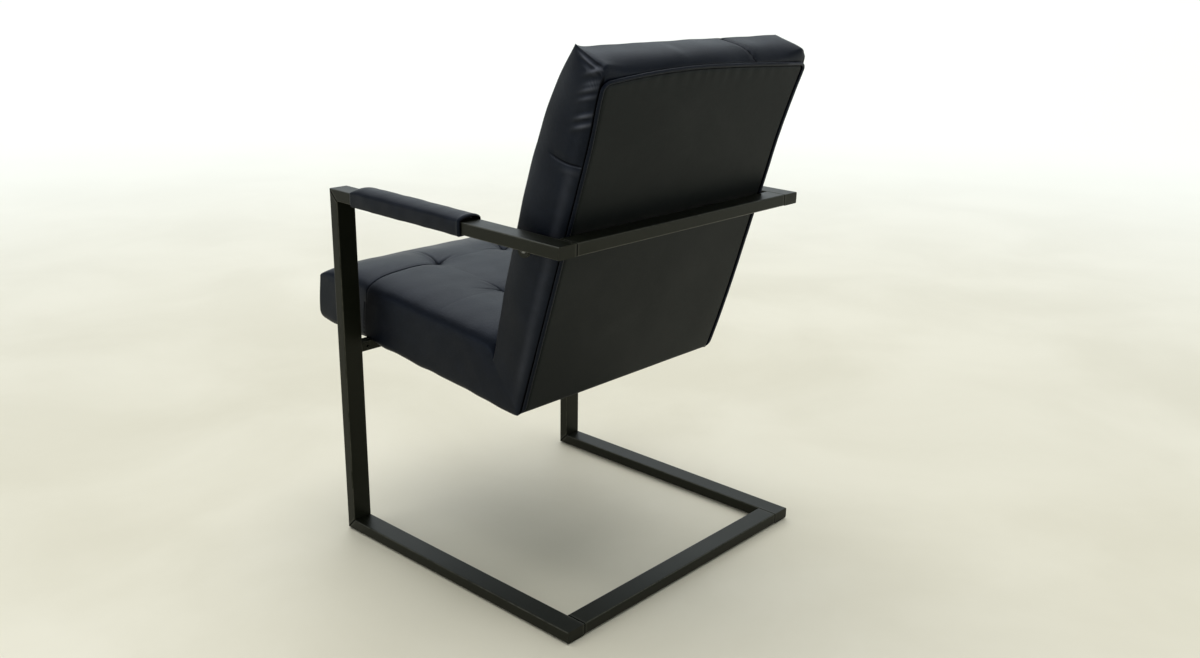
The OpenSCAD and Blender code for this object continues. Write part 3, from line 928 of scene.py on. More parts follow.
@dataclass(frozen=True)
class Relief:
    """What the sewing does to a stretch of leather.

    Attributes:
        stand: How far the leather stands out.
        dark: How much painted shade it gets in seams, creases and gaps, from 0 to 1.
        wear: How much painted highlight it gets, from 0 to 1.
    """

    stand: Array
    dark: Array | float = 0.0
    wear: Array | float = 0.0

    def __add__(self, other: "Relief") -> "Relief":
        """Lays one relief over another."""
        dark, wear = np.maximum(self.dark, other.dark), np.maximum(self.wear, other.wear)
        return Relief(self.stand + other.stand, dark, wear)


def heights(bumps: Sequence[Bump], places: Array) -> Array:
    """Adds up the heights of some bumps."""
    return sum(bump.over(places) for bump in bumps)


def seam_shade(line: Array, share: float = 0.6, start: float = 0.004, reach: float = 0.034) -> Array:
    """Gives the shade in the hollow behind the seat's cross seam."""
    return share * ramp(line, 0.0, start) * bell(line, reach)


@dataclass(frozen=True)
class Fold:
    """A pleat or short crease that starts at a tuft."""

    # Where it starts, across and along the surface, and its direction, 90 along the surface's axis
    x: float
    y: float
    angle: float
    # Its length and depth, and how far it bends aside, as a share of its length
    length: float
    depth: float
    curl: float = 0.10
    # How softly it starts behind the tuft, and how far behind
    start: float = 0.003
    behind: float = 0.008
    # Its width at the tuft, how much wider it ends, and the rise beside it as a share of its depth
    width: float = 0.0014
    spread: float = 0.0022
    lip: Bump = Bump(0.0050, 0.0040, 0.35)
    # Width of the line of painted shade in it, and how dark that is
    line: float = 0.0010
    dark: float = 0.9

    def fall(self, x: Array, y: Array) -> tuple[Array, Array]:
        """Gives how far the leather falls, and the painted shade in the crease.

        Args:
            x: Places across.
            y: Places along the surface.

        Returns:
            The fall and the mask of painted shade in the crease.
        """
        turn = math.radians(self.angle)
        along = (x - self.x) * math.cos(turn) + (y - self.y) * math.sin(turn)
        across = (y - self.y) * math.cos(turn) - (x - self.x) * math.sin(turn)
        share = np.clip(along / self.length, 0.0, 1.0)
        across = across - self.curl * along * share
        fade = np.where(along > 0.0, (1.0 - share) ** 0.8, bell(along, self.start)) * (along > -self.behind)
        groove = bell(across, self.width + self.spread * share)
        line = self.dark * bell(across, self.line) * fade**1.6
        return self.depth * (groove - self.lip.over(across)) * fade, line


@dataclass(frozen=True)
class ShellPlan:
    """Sizes that the shell's pieces share: its slanted axes and the line that the piping follows."""

    # The uprights' front face, and the shell's lower rear corner: how far behind it and how high
    front: float
    foot_y: float = 0.406
    foot_z: float = 0.3215
    # How far the back leans to the rear and how far the seat falls to it, in degrees
    back_lean: float = 17.8
    seat_pitch: float = 5.55
    # Half the width at the seams, the piping's top along the back, its bend and half its thickness
    half_width: float = 0.2435
    panel_length: float = 0.5715
    bend: float = 0.015
    piping: float = 0.003
    # How far the left seam is drawn in, and how it stands out again below its corner
    left_tuck: float = 0.0036
    left_ear: Bump = Bump(0.548, 0.055, 0.0062)
    # How far the right seam stands out, from how high over the foot, and where it wavers
    right_stand: float = 0.0042
    right_foot: float = 0.08
    right_bumps: tuple[Bump, ...] = (
        Bump(0.13, 0.13, 0.0052), Bump(0.43, 0.06, -0.0035), Bump(0.575, 0.05, 0.0060),
    )
    # Where the top seam is highest, and for each way from there its sign, reach, fall and power
    arch_x: float = 0.035
    arches: tuple[tuple[float, ...], ...] = ((1.0, 0.195, 0.0122, 2.0), (-1.0, 0.270, 0.0105, 1.4))

    @property
    def seat_axes(self) -> Slant:
        """The seat's slanted axes."""
        return Slant(self.front + self.foot_y, self.foot_z, self.seat_pitch)

    @property
    def back_axes(self) -> Slant:
        """The back's slanted axes."""
        return Slant(self.front + self.foot_y, self.foot_z, self.back_lean)

    def drawn(self, x: Array, up: Array) -> tuple[Array, Array]:
        """Draws a place on the rear face out of true, as sewn piping is: arched on top, its sides wavering.

        Args:
            x: Place across.
            up: Place up the back.

        Returns:
            Where it lies.
        """
        share = np.clip(x / self.half_width, -1.0, 1.0)
        left = np.clip(share, 0.0, 1.0) ** 3 * (self.left_ear.over(up) - self.left_tuck)
        flare = self.right_stand * roll(up, self.right_foot) + heights(self.right_bumps, up)
        right = np.clip(-share, 0.0, 1.0) ** 3 * flare
        arch = sum(
            fall * np.clip(way * (x - self.arch_x) / reach, 0.0, None) ** power
            for way, reach, fall, power in self.arches
        )
        high = np.clip(up / self.panel_length, 0.0, 1.1) ** 10
        return x + left - right, up - high * arch

    def outline(self, spread: float, step: float) -> Array:
        """Follows the piping from its left foot over the top to its right foot.

        Args:
            spread: How far outside the piping's middle the line runs.
            step: Distance between points.

        Returns:
            Places across and up, as two columns.
        """
        half, top, bend = self.half_width + spread, self.panel_length + spread, self.bend + spread
        rise = np.linspace(0.0, top - bend, round((top - bend) / step) + 1)
        turn = np.radians(np.linspace(0.0, 90.0, 13)[1:])
        across = np.linspace(half - bend, 0.0, round((half - bend) / step) + 1)[1:]
        x = np.concatenate([np.full_like(rise, half), half - bend + bend * np.cos(turn), across])
        up = np.concatenate([rise, top - bend + bend * np.sin(turn), np.full_like(across, top)])
        x, up = np.concatenate([x, -x[-2::-1]]), np.concatenate([up, up[-2::-1]])
        return np.stack(self.drawn(x, up), axis=1)


@dataclass(frozen=True)
class SideRelief:
    """The folds, gathers and seams of the shell's sides, with their painted shade and painted highlights.

    On the back, "thick" is the distance ahead of the rear panel's plane, and a line's bumps are placed by
    their height over the line.
    """

    # The shell's sizes, the back's rows of tufts, the seat's front row, and the side's rear border
    plan: ShellPlan
    back_rows: tuple[float, float]
    seat_row: float
    border: float
    # The ridge's folds: their start and end, profile, painted highlights and line of painted shade
    ridge_start: tuple[float, float] = (0.006, 0.016)
    ridge_end: tuple[float, float] = (0.062, 0.042)
    ridge_folds: tuple[Bump, ...] = (Bump(0.0045, 0.0018, 0.0012), Bump(0.0085, 0.0022, -0.0008))
    ridge_mound: Mound = Mound(Bump(0.0125, 0.0022, 0.0006), 0.022, 0.016)
    ridge_shine: Bump = Bump(0.0040, 0.0012, 0.75)
    mound_shine: Mound = Mound(Bump(0.0120, 0.0016, 0.6), 0.022, 0.012)
    ridge_line: Bump = Bump(0.0, 0.0009, 0.8)
    # The gathers by the piping: each one's place and height, and a gather of height 1 with painted highlight
    gathers: tuple[tuple[float, float], ...] = (
        (0.5780, 0.0032), (0.5600, 0.0020), (0.5515, 0.0028), (0.5385, 0.0018), (0.5115, 0.0031),
        (0.4965, 0.0029),
    )
    gather_slope: float = 0.586
    right_shift: float = 0.007
    gather_crest: Mound = Mound(Bump(0.0, 0.0040, 1.0), 0.016, 0.014)
    gather_dip: Mound = Mound(Bump(0.0082, 0.0045, -0.5), 0.010, 0.018)
    gather_shine: Mound = Mound(Bump(0.0012, 0.0028, 260.0), 0.016, 0.010)
    # The side's seam: curve, profile, painted shade line, the puffed leather below it, their painted
    # highlights
    seam_drop: float = 0.0015
    seam_bow: float = 2.2
    seam_middle: float = 0.045
    seam_end: tuple[float, float] = (0.066, 0.054)
    seam_grooves: tuple[Bump, ...] = (Bump(0.0, 0.0013, 0.0014), Bump(0.003, 0.006, 0.0011))
    seam_mound: Mound = Mound(Bump(-0.010, 0.006, 0.0011), 0.018, 0.016)
    seam_line: Bump = Bump(0.0, 0.0009, 0.9)
    seam_shine: Bump = Bump(-0.0022, 0.0009, 0.35)
    puff_shine: Mound = Mound(Bump(-0.0115, 0.0060, 0.22), 0.018, 0.012)
    # The crease at the lower row of tufts
    crease: Mound = Mound(Bump(0.0, 0.0022, -0.0009), 0.020, 0.014)
    crease_slope: float = 0.10
    # The band of painted highlight down the side, and the line of painted shade at the border by the piping
    highlight_band: Bump = Bump(0.019, 0.0075, 0.05)
    highlight_more: float = 0.13
    highlight_top: float = 0.02
    highlight_foot: tuple[float, float] = (0.03, 0.08)
    border_line: float = 0.0011
    # The end of the seat's cross seam, with its painted shade
    seat_seam_at: float = 0.004
    seat_groove: Bump = Bump(0.0, 0.0011, -0.0007)
    seat_line: Bump = Bump(0.0, 0.0009, 1.0)
    # The limit of all painted highlight
    most_wear: float = 0.8

    def ridge(self, thick: Array, beyond: Array) -> Relief:
        """Folds the leather under the ridge at the top, with painted highlights and a painted shade line.

        Args:
            thick: Places ahead of the rear panel's plane.
            beyond: Distances below the ridge.

        Returns:
            The relief.
        """
        along = ramp(thick, *self.ridge_start) * ramp(thick, *self.ridge_end)
        stand = heights(self.ridge_folds, beyond) + self.ridge_mound.over(beyond, thick)
        wear = np.maximum(self.ridge_shine.over(beyond), self.mound_shine.over(beyond, thick))
        return Relief(along * stand, along * self.ridge_line.over(beyond), along * wear)

    def gathered(self, thick: Array, up: Array, side: Side) -> Relief:
        """Draws in the leather beside the piping, with painted highlights on the gathers.

        Args:
            thick: Places ahead of the rear panel's plane.
            up: Places up the back.
            side: Which side.

        Returns:
            The relief.
        """
        shift = 0.0 if side is Side.LEFT else self.right_shift
        total = Relief(np.zeros(thick.shape))
        for place, height in self.gathers:
            line = up + self.gather_slope * thick - place + shift
            stand = self.gather_crest.over(line, thick) + self.gather_dip.over(line, thick)
            total += Relief(height * stand, wear=height * self.gather_shine.over(line, thick))
        return total

    def seam(self, thick: Array, up: Array) -> Relief:
        """Sews the seam over the side from the back's upper row of tufts, with painted shade and highlights.

        Args:
            thick: Places ahead of the rear panel's plane.
            up: Places up the back.

        Returns:
            The relief.
        """
        line = up - (self.back_rows[0] - self.seam_drop) - self.seam_bow * (thick - self.seam_middle) ** 2
        strong = ramp(thick, *self.seam_end)
        stand = self.seam_mound.over(line, thick) - heights(self.seam_grooves, line)
        wear = np.maximum(self.seam_shine.over(line), self.puff_shine.over(line, thick))
        return Relief(strong * stand, strong * self.seam_line.over(line), strong * wear)

    def plain(self, thick: Array, up: Array) -> Relief:
        """Creases the rest of the back's side, with a painted highlight band and painted shade at its border.

        Args:
            thick: Places ahead of the rear panel's plane.
            up: Places up the back.

        Returns:
            The relief.
        """
        crease = up - self.back_rows[1] + self.crease_slope * (thick - self.crease.middle)
        below = ramp(up, self.back_rows[0], self.back_rows[0] - self.highlight_top) * ramp(up, *self.highlight_foot)
        wear = bell(thick - self.highlight_band.at, self.highlight_band.width) * (self.highlight_band.height + self.highlight_more * below)
        return Relief(self.crease.over(crease, thick), bell(thick - self.border, self.border_line), wear)

    def seat(self, back: Array) -> Relief:
        """Ends the seat's cross seam on its side, with its painted shade.

        Args:
            back: Places along the seat's axis.

        Returns:
            The relief.
        """
        line = back - self.seat_row + self.seat_seam_at
        dark = np.maximum(self.seat_line.over(line), seam_shade(line))
        return Relief(self.seat_groove.over(line), dark)

    def of(self, points: Array, on_back: Array, side: Side) -> Relief:
        """Gives the whole relief of a side.

        Args:
            points: The side's points, from the ridge down.
            on_back: 1 on the back's rows.
            side: Which side.

        Returns:
            The relief.
        """
        rear, up = self.plan.back_axes.read(points)
        thick = -rear
        back, _ = self.plan.seat_axes.read(points)
        sewn = self.ridge(thick, up[:1] - up) + self.seam(thick, up) + self.plain(thick, up)
        sewn = Relief(on_back * sewn.stand, on_back * sewn.dark, on_back * sewn.wear)
        seat = self.seat(back)
        total = sewn + self.gathered(thick, up, side)
        total += Relief((1.0 - on_back) * seat.stand, (1.0 - on_back) * seat.dark)
        return Relief(total.stand, total.dark, np.clip(total.wear, 0.0, self.most_wear))


@dataclass
class LeatherShell:
    """The padded shell: seat and back in one skin, tufted, with sides that swell between their seams."""

    plan: ShellPlan
    # The seat's overhang past the back and its length, and the sides' border ahead of the panel
    seat_stand: float = 0.0025
    seat_length: float = 0.540
    border: float = 0.0045
    # The seat's sides and crown, and how far its roundness reaches in from its edges
    side_height: float = 0.070
    crown_height: float = 0.117
    front_reach: float = 0.124
    side_reach: float = 0.099
    front_edge: Bump = Bump(0.0, 0.045, 0.010)
    # The seat's fall towards the crease with the back, and the crease itself
    rear_dip: float = 0.18
    rear_reach: float = 0.07
    crease_rise: float = 0.016
    crease_reach: float = 0.25
    crease_round: tuple[float, float] = (0.034, 2.3)
    # The back's thickness at its sides, from the crease to its top
    back_full: float = 0.0975
    full_at: float = 0.375
    back_low: float = 0.0835
    low_at: float = 0.08
    back_top: float = 0.0685
    top_rise: float = 0.0105
    # The ridges beside the band along the top
    ridge: float = 0.0205
    ridge_near: float = 0.024
    ridge_fade: float = 0.13
    # The back's front: drawn out near its sides, bowed and crowned
    edge_draw: float = 0.003
    draw_down: float = 0.07
    draw_in: float = 0.05
    back_bow: float = 0.003
    back_crown: float = 0.014
    top_reach: float = 0.08
    back_start: float = 0.068
    back_round: tuple[float, float] = (0.04, 2.2)
    # The sides' swell between their seams, on the back and then on the seat
    side_swell: float = 0.0095
    swell_foot: float = 0.20
    swell_top: float = 0.035
    top_share: float = 0.30
    swell_rear: float = 0.33
    swell_front: float = 0.35
    seat_bulge: float = 0.0012
    seat_corner: float = 0.16
    swell_change: float = 0.16
    # The lower edge, which sags and wavers except at the seat bar
    under_sag: float = 0.0042
    rear_sag: Bump = Bump(0.08, 0.07, 0.0042)
    under_wave: float = 0.0006
    bar_hold: float = 0.024
    under_draw: float = 0.004
    turn_in: float = 0.002
    # The tufts, with the seat's rows from the front and the back's from the top
    tuft_x: float = 0.082
    seat_rows: tuple[float, float] = (-0.400, -0.221)
    back_rows: tuple[float, float] = (0.428, 0.249)
    tuft_depth: float = 0.010
    dimple: tuple[Bump, ...] = (Bump(0.0, 0.030, 0.42), Bump(0.0, 0.012, 0.26))
    button: tuple[float, float] = (0.42, 0.0045)
    # The pillows between them, and where the seat's last one ends
    seat_pillow: float = 0.0012
    seat_end: float = -0.075
    back_pillow: float = 0.007
    # The seams between them: their profiles, where they start and fade, and their dark lines of painted shade
    seat_seam: tuple[Bump, ...] = (Bump(0.0, 0.0012, 0.0014), Bump(0.0, 0.006, 0.0012))
    back_seam: tuple[Bump, ...] = (Bump(0.0, 0.0012, 0.0014), Bump(0.0, 0.006, 0.0014))
    seam_start: tuple[float, float] = (-0.004, 0.002)
    seam_fade: tuple[float, float] = (0.94, 0.86)
    seam_line: float = 0.0010
    seam_lean: float = 0.0135
    # The band along the top, with its seam, the seam's line of painted shade, and its corners
    top_seam: tuple[Bump, ...] = (Bump(0.0, 0.0012, 0.0016), Bump(0.0, 0.007, 0.0020))
    top_run: float = 0.0165
    top_line: float = 0.0011
    top_dip: Bump = Bump(0.05, 0.014, 0.0010)
    top_crest: float = 0.0086
    top_bow: float = 0.0008
    ear_height: float = 0.0052
    ear_reach: float = 0.009
    right_ear: float = 0.02
    # The seat's front, the leather's slow unevenness, the gap over the frame and the grid
    front_swell: float = 0.0045
    unevenness: float = 0.0007
    edge_gap: float = 0.0003
    coarse: float = 0.0048

    def __post_init__(self) -> None:
        """Works out what follows from the sizes."""
        self.half_width = self.plan.half_width
        self.seat_axes = self.plan.seat_axes
        self.back_axes = self.plan.back_axes
        self.crook = math.radians(self.plan.back_lean - self.plan.seat_pitch)
        self.top = self.plan.panel_length + self.top_rise
        self.corner = self.plan.bend * (1.0 - math.sqrt(0.5))
        self.sides = SideRelief(self.plan, self.back_rows, self.seat_rows[0], self.border)

    def crease(self, k: Array) -> tuple[Array, Array, Array]:
        """Gives the crease between seat and back.

        Args:
            k: Places across, from -1 to 1.

        Returns:
            The crease's height over the seat's underside, its place on the seat's axis and on the back's.
        """
        height = self.side_height + self.crease_rise * roll(1.0 - np.abs(k), self.crease_reach)
        seat_back = height * math.tan(self.crook) - self.back_low / math.cos(self.crook)
        back_up = seat_back * math.sin(self.crook) + height * math.cos(self.crook)
        return height, seat_back, back_up

    def pillow(
        self, x: Array, y: Array, rows: Sequence[float], edges: tuple[float, float], sharp: float
    ) -> Array:
        """Gives the rise of the pillows between the lines of tufts, from 0 to 1."""
        columns = (-self.half_width, -self.tuft_x, self.tuft_x, self.half_width)
        return (waves(x, columns) * waves(y, (edges[0], *rows, edges[1]))) ** sharp

    def tufts(self, x: Array, y: Array, rows: Sequence[float]) -> Array:
        """Gives the fall into the nearest tuft.

        Args:
            x: Places across.
            y: Places along the surface.
            rows: The rows of tufts.

        Returns:
            The fall.
        """
        far = np.min([np.hypot(np.abs(x) - self.tuft_x, y - row) for row in rows], axis=0)
        share, reach = self.button
        return self.tuft_depth * (heights(self.dimple, far) + share * np.exp(-far / reach))

    def folds_of(self, rows: Sequence[float], outward: int) -> list[Fold]:
        """Gives the pleats that start at four tufts.

        Args:
            rows: The rows of tufts, the outer one first.
            outward: 1 or -1, the way that the surface's outer edge lies.

        Returns:
            The pleats.
        """
        outer, inner = rows
        pleats = []
        for sign in (1, -1):
            x = sign * self.tuft_x
            pleats += [
                Fold(x, outer, angle=outward * 90.0 - 13.0, length=0.088, depth=0.0030),
                Fold(x, outer, angle=90.0 + sign * 100.0, length=0.056, depth=0.0016),
                Fold(x, inner, angle=outward * (90.0 - sign * 55.0), length=0.060, depth=0.0022),
                Fold(x, inner, angle=outward * (90.0 - sign * 3.0), length=0.056, depth=0.0022),
            ]
        return pleats

    def started(self, distance: Array) -> Array:
        """Gives 0 before a seam's first tuft and 1 beyond it."""
        return ramp(distance, *self.seam_start)

    def seat_surface(self, k: Array, back: Array) -> tuple[Array, Array]:
        """Gives the seat's height and the painted shade in its seams and creases.

        Args:
            k: Places across, from -1 to 1.
            back: Places along the seat's axis.

        Returns:
            The heights and the mask of painted shade.
        """
        half = self.half_width + self.seat_stand
        x = k * half
        low, crease_back, _ = self.crease(k)
        inner = np.abs(half - np.abs(x))
        behind_front, before_crease = back + self.seat_length, crease_back - back
        inside = roll(behind_front, self.front_reach)
        rise = roll(inner, self.side_reach) ** 0.52 * inside
        rear = 1.0 - self.rear_dip + self.rear_dip * roll(before_crease, self.rear_reach)
        edge = self.side_height + self.front_edge.over(behind_front)
        ends = (-self.seat_length, self.seat_end)
        soft = self.seat_pillow * self.pillow(x, back, self.seat_rows, ends, 0.7)
        height = edge + (self.crown_height - edge) * rise * rear
        height = height + inside * (soft - self.tufts(x, back, self.seat_rows))
        line = back - self.seat_rows[0]
        strong = self.started(np.abs(x) - self.tuft_x)
        fall = strong * heights(self.seat_seam, line)
        shade = seam_shade(line) * (1.0 - roll(inner, 0.034))
        dark = np.maximum(strong * bell(line, self.seam_line), shade)
        for pleat in self.folds_of(self.seat_rows, -1):
            depth, crease = pleat.fall(x, back)
            fall, dark = fall + depth * rise, np.maximum(dark, crease * rise)
        return low + (height - fall - low) * roll(before_crease, *self.crease_round), dark

    def back_surface(self, k: Array, up: Array) -> tuple[Array, Array]:
        """Gives the back's thickness and the painted shade in its seams and creases.

        Args:
            k: Places across, from -1 to 1.
            up: Places along the back's axis.

        Returns:
            The thicknesses and the mask of painted shade.
        """
        x = k * self.half_width
        _, _, crease_up = self.crease(k)
        below_top = self.top - up
        soft = self.back_pillow * self.pillow(x, up, self.back_rows, (self.back_start, self.top), 0.6)
        crown = self.back_crown * (1.0 - np.abs(k) ** 3) + soft - self.tufts(x, up, self.back_rows)
        draw = self.edge_draw * roll(below_top, self.draw_down) * roll(1.0 - np.abs(k), self.draw_in)
        front = draw + self.back_bow * (1.0 - k**2) + roll(below_top, self.top_reach) * crown
        dark = np.zeros_like(front)
        for pleat in self.folds_of(self.back_rows, 1):
            depth, crease = pleat.fall(x, up)
            front, dark = front - depth, np.maximum(dark, crease)
        row = self.back_rows[0]
        beside = self.started(np.abs(x) - self.tuft_x) * ramp(np.abs(k), *self.seam_fade)
        leaning = x + self.tuft_x + self.seam_lean * ramp(up, row, self.top)
        for line, strong in ((up - row, beside), (leaning, self.started(up - row))):
            front = front - strong * heights(self.back_seam, line)
            dark = np.maximum(dark, 0.8 * strong * bell(line, self.seam_line))
        valley = roll(up - crease_up, *self.back_round)
        return self.back_low + (self.side_thickness(up) - self.back_low + front) * valley, dark

    def side_thickness(self, up: Array) -> Array:
        """Gives the back's thickness at its sides.

        Args:
            up: Places along the back's axis.

        Returns:
            The thicknesses.
        """
        upper = (self.back_full - self.back_top) * ramp(up, self.full_at, self.top) ** 2.3
        lower = (self.back_full - self.back_low) * ramp(up, self.full_at, self.low_at) ** 2.35
        return self.back_full - upper - lower

    def ear(self, k: Array) -> Array:
        """Gives how far the top stands over its middle, which is most at the left corner.

        Args:
            k: Places across, from -1 to 1.

        Returns:
            The rises.
        """
        corner = np.exp(-(1.0 - np.abs(k)) * self.half_width / self.ear_reach)
        share = np.where(k > 0.0, 1.0, self.right_ear)
        return self.top_bow * np.abs(k) ** 3 + self.ear_height * corner * share

    def columns(self) -> Array:
        """Gives the grid's columns.

        Returns:
            Their places across, from -1 to 1.
        """
        spots = [(0.0, 0.045, 0.0010), (self.half_width - self.tuft_x, 0.040, 0.0011)]
        half = 1.0 - spaced(0.0, self.half_width, self.coarse, spots) / self.half_width
        return np.concatenate([-half, half[::-1][1:]])

    def lines_down(self) -> tuple[Array, Array]:
        """Gives the grid's rows.

        Returns:
            Those on the back, from the top down, and those on the seat, from the crease forwards.
        """
        _, crease_back, crease_up = (float(place) for place in self.crease(np.array(1.0)))
        top_gathers, low_gathers = 0.535, 0.447
        back_spots = [(row, 0.036, 0.0013) for row in self.back_rows]
        back_spots += [(self.top, 0.024, 0.0007), (crease_up, 0.03, 0.0010), (top_gathers, 0.07, 0.0014)]
        back_spots += [(self.back_rows[0], 0.012, 0.0007), (low_gathers, 0.024, 0.0007)]
        seat_spots = [(row, 0.040, 0.0011) for row in self.seat_rows]
        seat_spots += [(crease_back, 0.03, 0.0010), (-self.seat_length, 0.035, 0.0009)]
        seat_spots += [(self.seat_rows[0], 0.008, 0.0006)]
        ups = spaced(self.top, crease_up, self.coarse, back_spots)
        backs = spaced(crease_back, -self.seat_length, self.coarse, seat_spots)
        return ups, backs

    def main_face(self, k: Array, ups: Array, backs: Array) -> tuple[Array, Array]:
        """Draws the face that the sitter touches, from the top of the back to the seat's front edge.

        Args:
            k: Places across.
            ups: Rows on the back.
            backs: Rows on the seat.

        Returns:
            The points, as rows of columns, and the mask of painted shade.
        """
        follow, widening = 0.08, 0.06
        across = k[None, :]
        _, crease_back, crease_up = self.crease(across)
        edge_up, edge_back = ups[-1], backs[0]
        near = ramp(ups, edge_up + follow, edge_up)[:, None]
        up = ups[:, None] + (crease_up - edge_up) * near
        thick, dark_back = self.back_surface(across, up)
        tilt = self.ear(across) / self.back_top * np.clip(up / self.top, 0.0, 1.0) ** 9
        on_back = self.back_axes.place(across * self.half_width, -thick, up + thick * tilt)
        near = ramp(backs, edge_back - follow, edge_back)[:, None]
        back = backs[:, None] + (crease_back - edge_back) * near
        height, dark_seat = self.seat_surface(across, back)
        half = self.half_width + self.seat_stand * ramp(backs, edge_back, edge_back - widening)[:, None]
        on_seat = self.seat_axes.place(across * half, back, height)
        return np.concatenate([on_back, on_seat[1:]]), np.concatenate([dark_back, dark_seat[1:]])

    def border_line(self, ups: Array, backs: Array, side: Side) -> tuple[Array, Array]:
        """Draws a side's border, down beside the piping and forwards under the seat.

        Args:
            ups: Rows on the back.
            backs: Rows on the seat.
            side: Which side.

        Returns:
            The points, and how high up the back each lies, 0 on the seat.
        """
        corner_up = self.plan.panel_length - self.corner
        rear_up = corner_up * (ups - ups[-1]) / (ups[0] - ups[-1])
        rear_x = rounded(rear_up, self.plan.panel_length, self.half_width, self.plan.bend)
        drawn_x, drawn_up = self.plan.drawn(side.value * rear_x, rear_up)
        rear = self.back_axes.place(drawn_x, -self.border, drawn_up)
        ahead = (backs[0] - backs) / (backs[0] - backs[-1])
        under_back = -self.border - (self.seat_length - self.border - self.turn_in) * ahead
        sag = self.under_sag * roll(ahead, 0.05) * roll(1.0 - ahead, 0.02) + self.rear_sag.over(ahead)
        waver = np.sin(ahead * 41.0 + 0.7) + 0.6 * np.sin(ahead * 67.0 + 2.0)
        sag = sag + self.under_wave * waver * roll(ahead, 0.1)
        sag = sag * (1.0 - bell(under_back - SEAT_BAR, self.bar_hold))
        under_x = self.half_width - self.under_draw * ramp(ahead, 0.0, 0.05)
        under = self.seat_axes.place(side.value * under_x, under_back, -sag)
        return np.concatenate([rear, under[1:]]), np.concatenate([rear_up, np.zeros(len(backs) - 1)])

    def swelling(self, c: Array, up: Array, lean: Array) -> Array:
        """Gives how far a side swells between its seams.

        Args:
            c: Places from the border, 0, to the main face's edge, 1.
            up: Heights up the back, 0 on the seat.
            lean: How far the edge stands out past the border.

        Returns:
            The swelling.
        """
        below_corner = self.plan.panel_length - self.corner - up
        full = roll(up, self.swell_foot)
        full = full * (self.top_share + (1.0 - self.top_share) * roll(below_corner, self.swell_top))
        rolled = 1.0 - (1.0 - np.clip(c / self.swell_rear, 0.0, 1.0)) ** 2
        on_back = self.side_swell * rolled * (1.0 - ramp(c, self.swell_front, 1.0) ** 2.4) * full
        on_seat = lean * (roll(c, self.seat_corner) - c) + self.seat_bulge * np.sin(np.pi * c)
        share = ramp(up, 0.0, self.swell_change)
        share = share * share * (3.0 - 2.0 * share)
        return on_back * share + on_seat * (1.0 - share)

    def side_face(
        self, edge: Array, ups: Array, backs: Array, depth: Array, side: Side
    ) -> tuple[Array, Array]:
        """Draws one side, from the rear and bottom border out to the main face's edge.

        Args:
            edge: The main face's edge on that side.
            ups: Rows on the back.
            backs: Rows on the seat.
            depth: Places from the border, 0, to the edge, 1.
            side: Which side.

        Returns:
            The points, as rows from the border to the edge, and masks of painted shade and painted highlight.
        """
        border, up = self.border_line(ups, backs, side)
        c, up = depth[None, :], up[:, None]
        points = border[:, None] * (1.0 - c[..., None]) + edge[:, None] * c[..., None]
        on_back = (np.arange(len(up)) < len(ups))[:, None] * 1.0
        near_top = on_back * bell(self.plan.panel_length - self.corner - up, self.ridge_near)
        points += (self.ridge_rise(c) * near_top)[..., None] * self.back_axes.up_way
        relief = self.sides.of(points, on_back, side)
        swell = self.swelling(c, up, np.abs(edge[:, :1] - border[:, :1]))
        points[..., 0] += side.value * (swell + relief.stand * np.clip(c * 14.0, 0.0, 1.0))
        return points, np.stack([relief.dark, relief.wear])

    def ridge_rise(self, c: Array) -> Array:
        """Gives how far the ridge between a side and the top band bulges over a straight line."""
        return self.ridge * (1.0 - c) * roll(c, 0.14)

    def under_face(self, k: Array, left: Array, right: Array) -> Array:
        """Draws the underside, where the leather is turned in and lies flat on the wooden frame.

        Args:
            k: Places across.
            left: The left side's lower border, from the rear forwards.
            right: The right side's.

        Returns:
            The points, as rows from the rear forwards.
        """
        turned = 0.030
        share = ((k + 1.0) / 2.0)[None, :, None]
        points = right[:, None] * (1.0 - share) + left[:, None] * share
        back, height = self.seat_axes.read(points)
        inner = (1.0 - np.abs(k))[None, :] * self.half_width
        height = height - (self.edge_gap + height) * roll(inner, turned)
        return self.seat_axes.place(points[..., 0], back, height)

    def top_face(
        self, k: Array, depth: Array, front: Array, left: Array, right: Array
    ) -> tuple[Array, Array]:
        """Draws the band along the back's top.

        Args:
            k: Places across.
            depth: Places from the piping, 0, to the front edge, 1.
            front: The main face's top edge.
            left: The left side's top edge.
            right: The right side's top edge.

        Returns:
            The points, as rows from the piping forwards, and the mask of painted shade in its seam.
        """
        rear_x = (self.half_width - self.corner) * k
        rear_up = rounded(np.abs(rear_x), self.half_width, self.plan.panel_length, self.plan.bend)
        drawn_x, drawn_up = self.plan.drawn(rear_x, rear_up)
        rear = self.back_axes.place(drawn_x, -self.border, drawn_up)
        rear[0], rear[-1] = right[0], left[0]
        rise = self.ridge_rise(depth)[:, None] * self.back_axes.up_way
        points = patch(rear, front, right - rise, left - rise, depth, (k + 1.0) / 2.0)
        fade = np.exp(-(((1.0 - np.abs(k)) / self.ridge_fade) ** 1.3))
        points += rise[:, None, :] * fade[None, :, None]
        c, x = depth[:, None], k[None, :] * self.half_width
        crest = self.top_crest * np.sin(np.pi * c**0.68) * (1.0 - np.abs(k[None, :]) ** 12)
        seam = x + self.tuft_x + self.seam_lean + self.top_run * (1.0 - c)
        fall = heights(self.top_seam, seam) + self.top_dip.over(x) * np.sin(np.pi * c)
        lift = crest - fall * np.clip(c * 12.0, 0.0, 1.0)
        return points + lift[..., None] * self.back_axes.up_way, bell(seam, self.top_line)

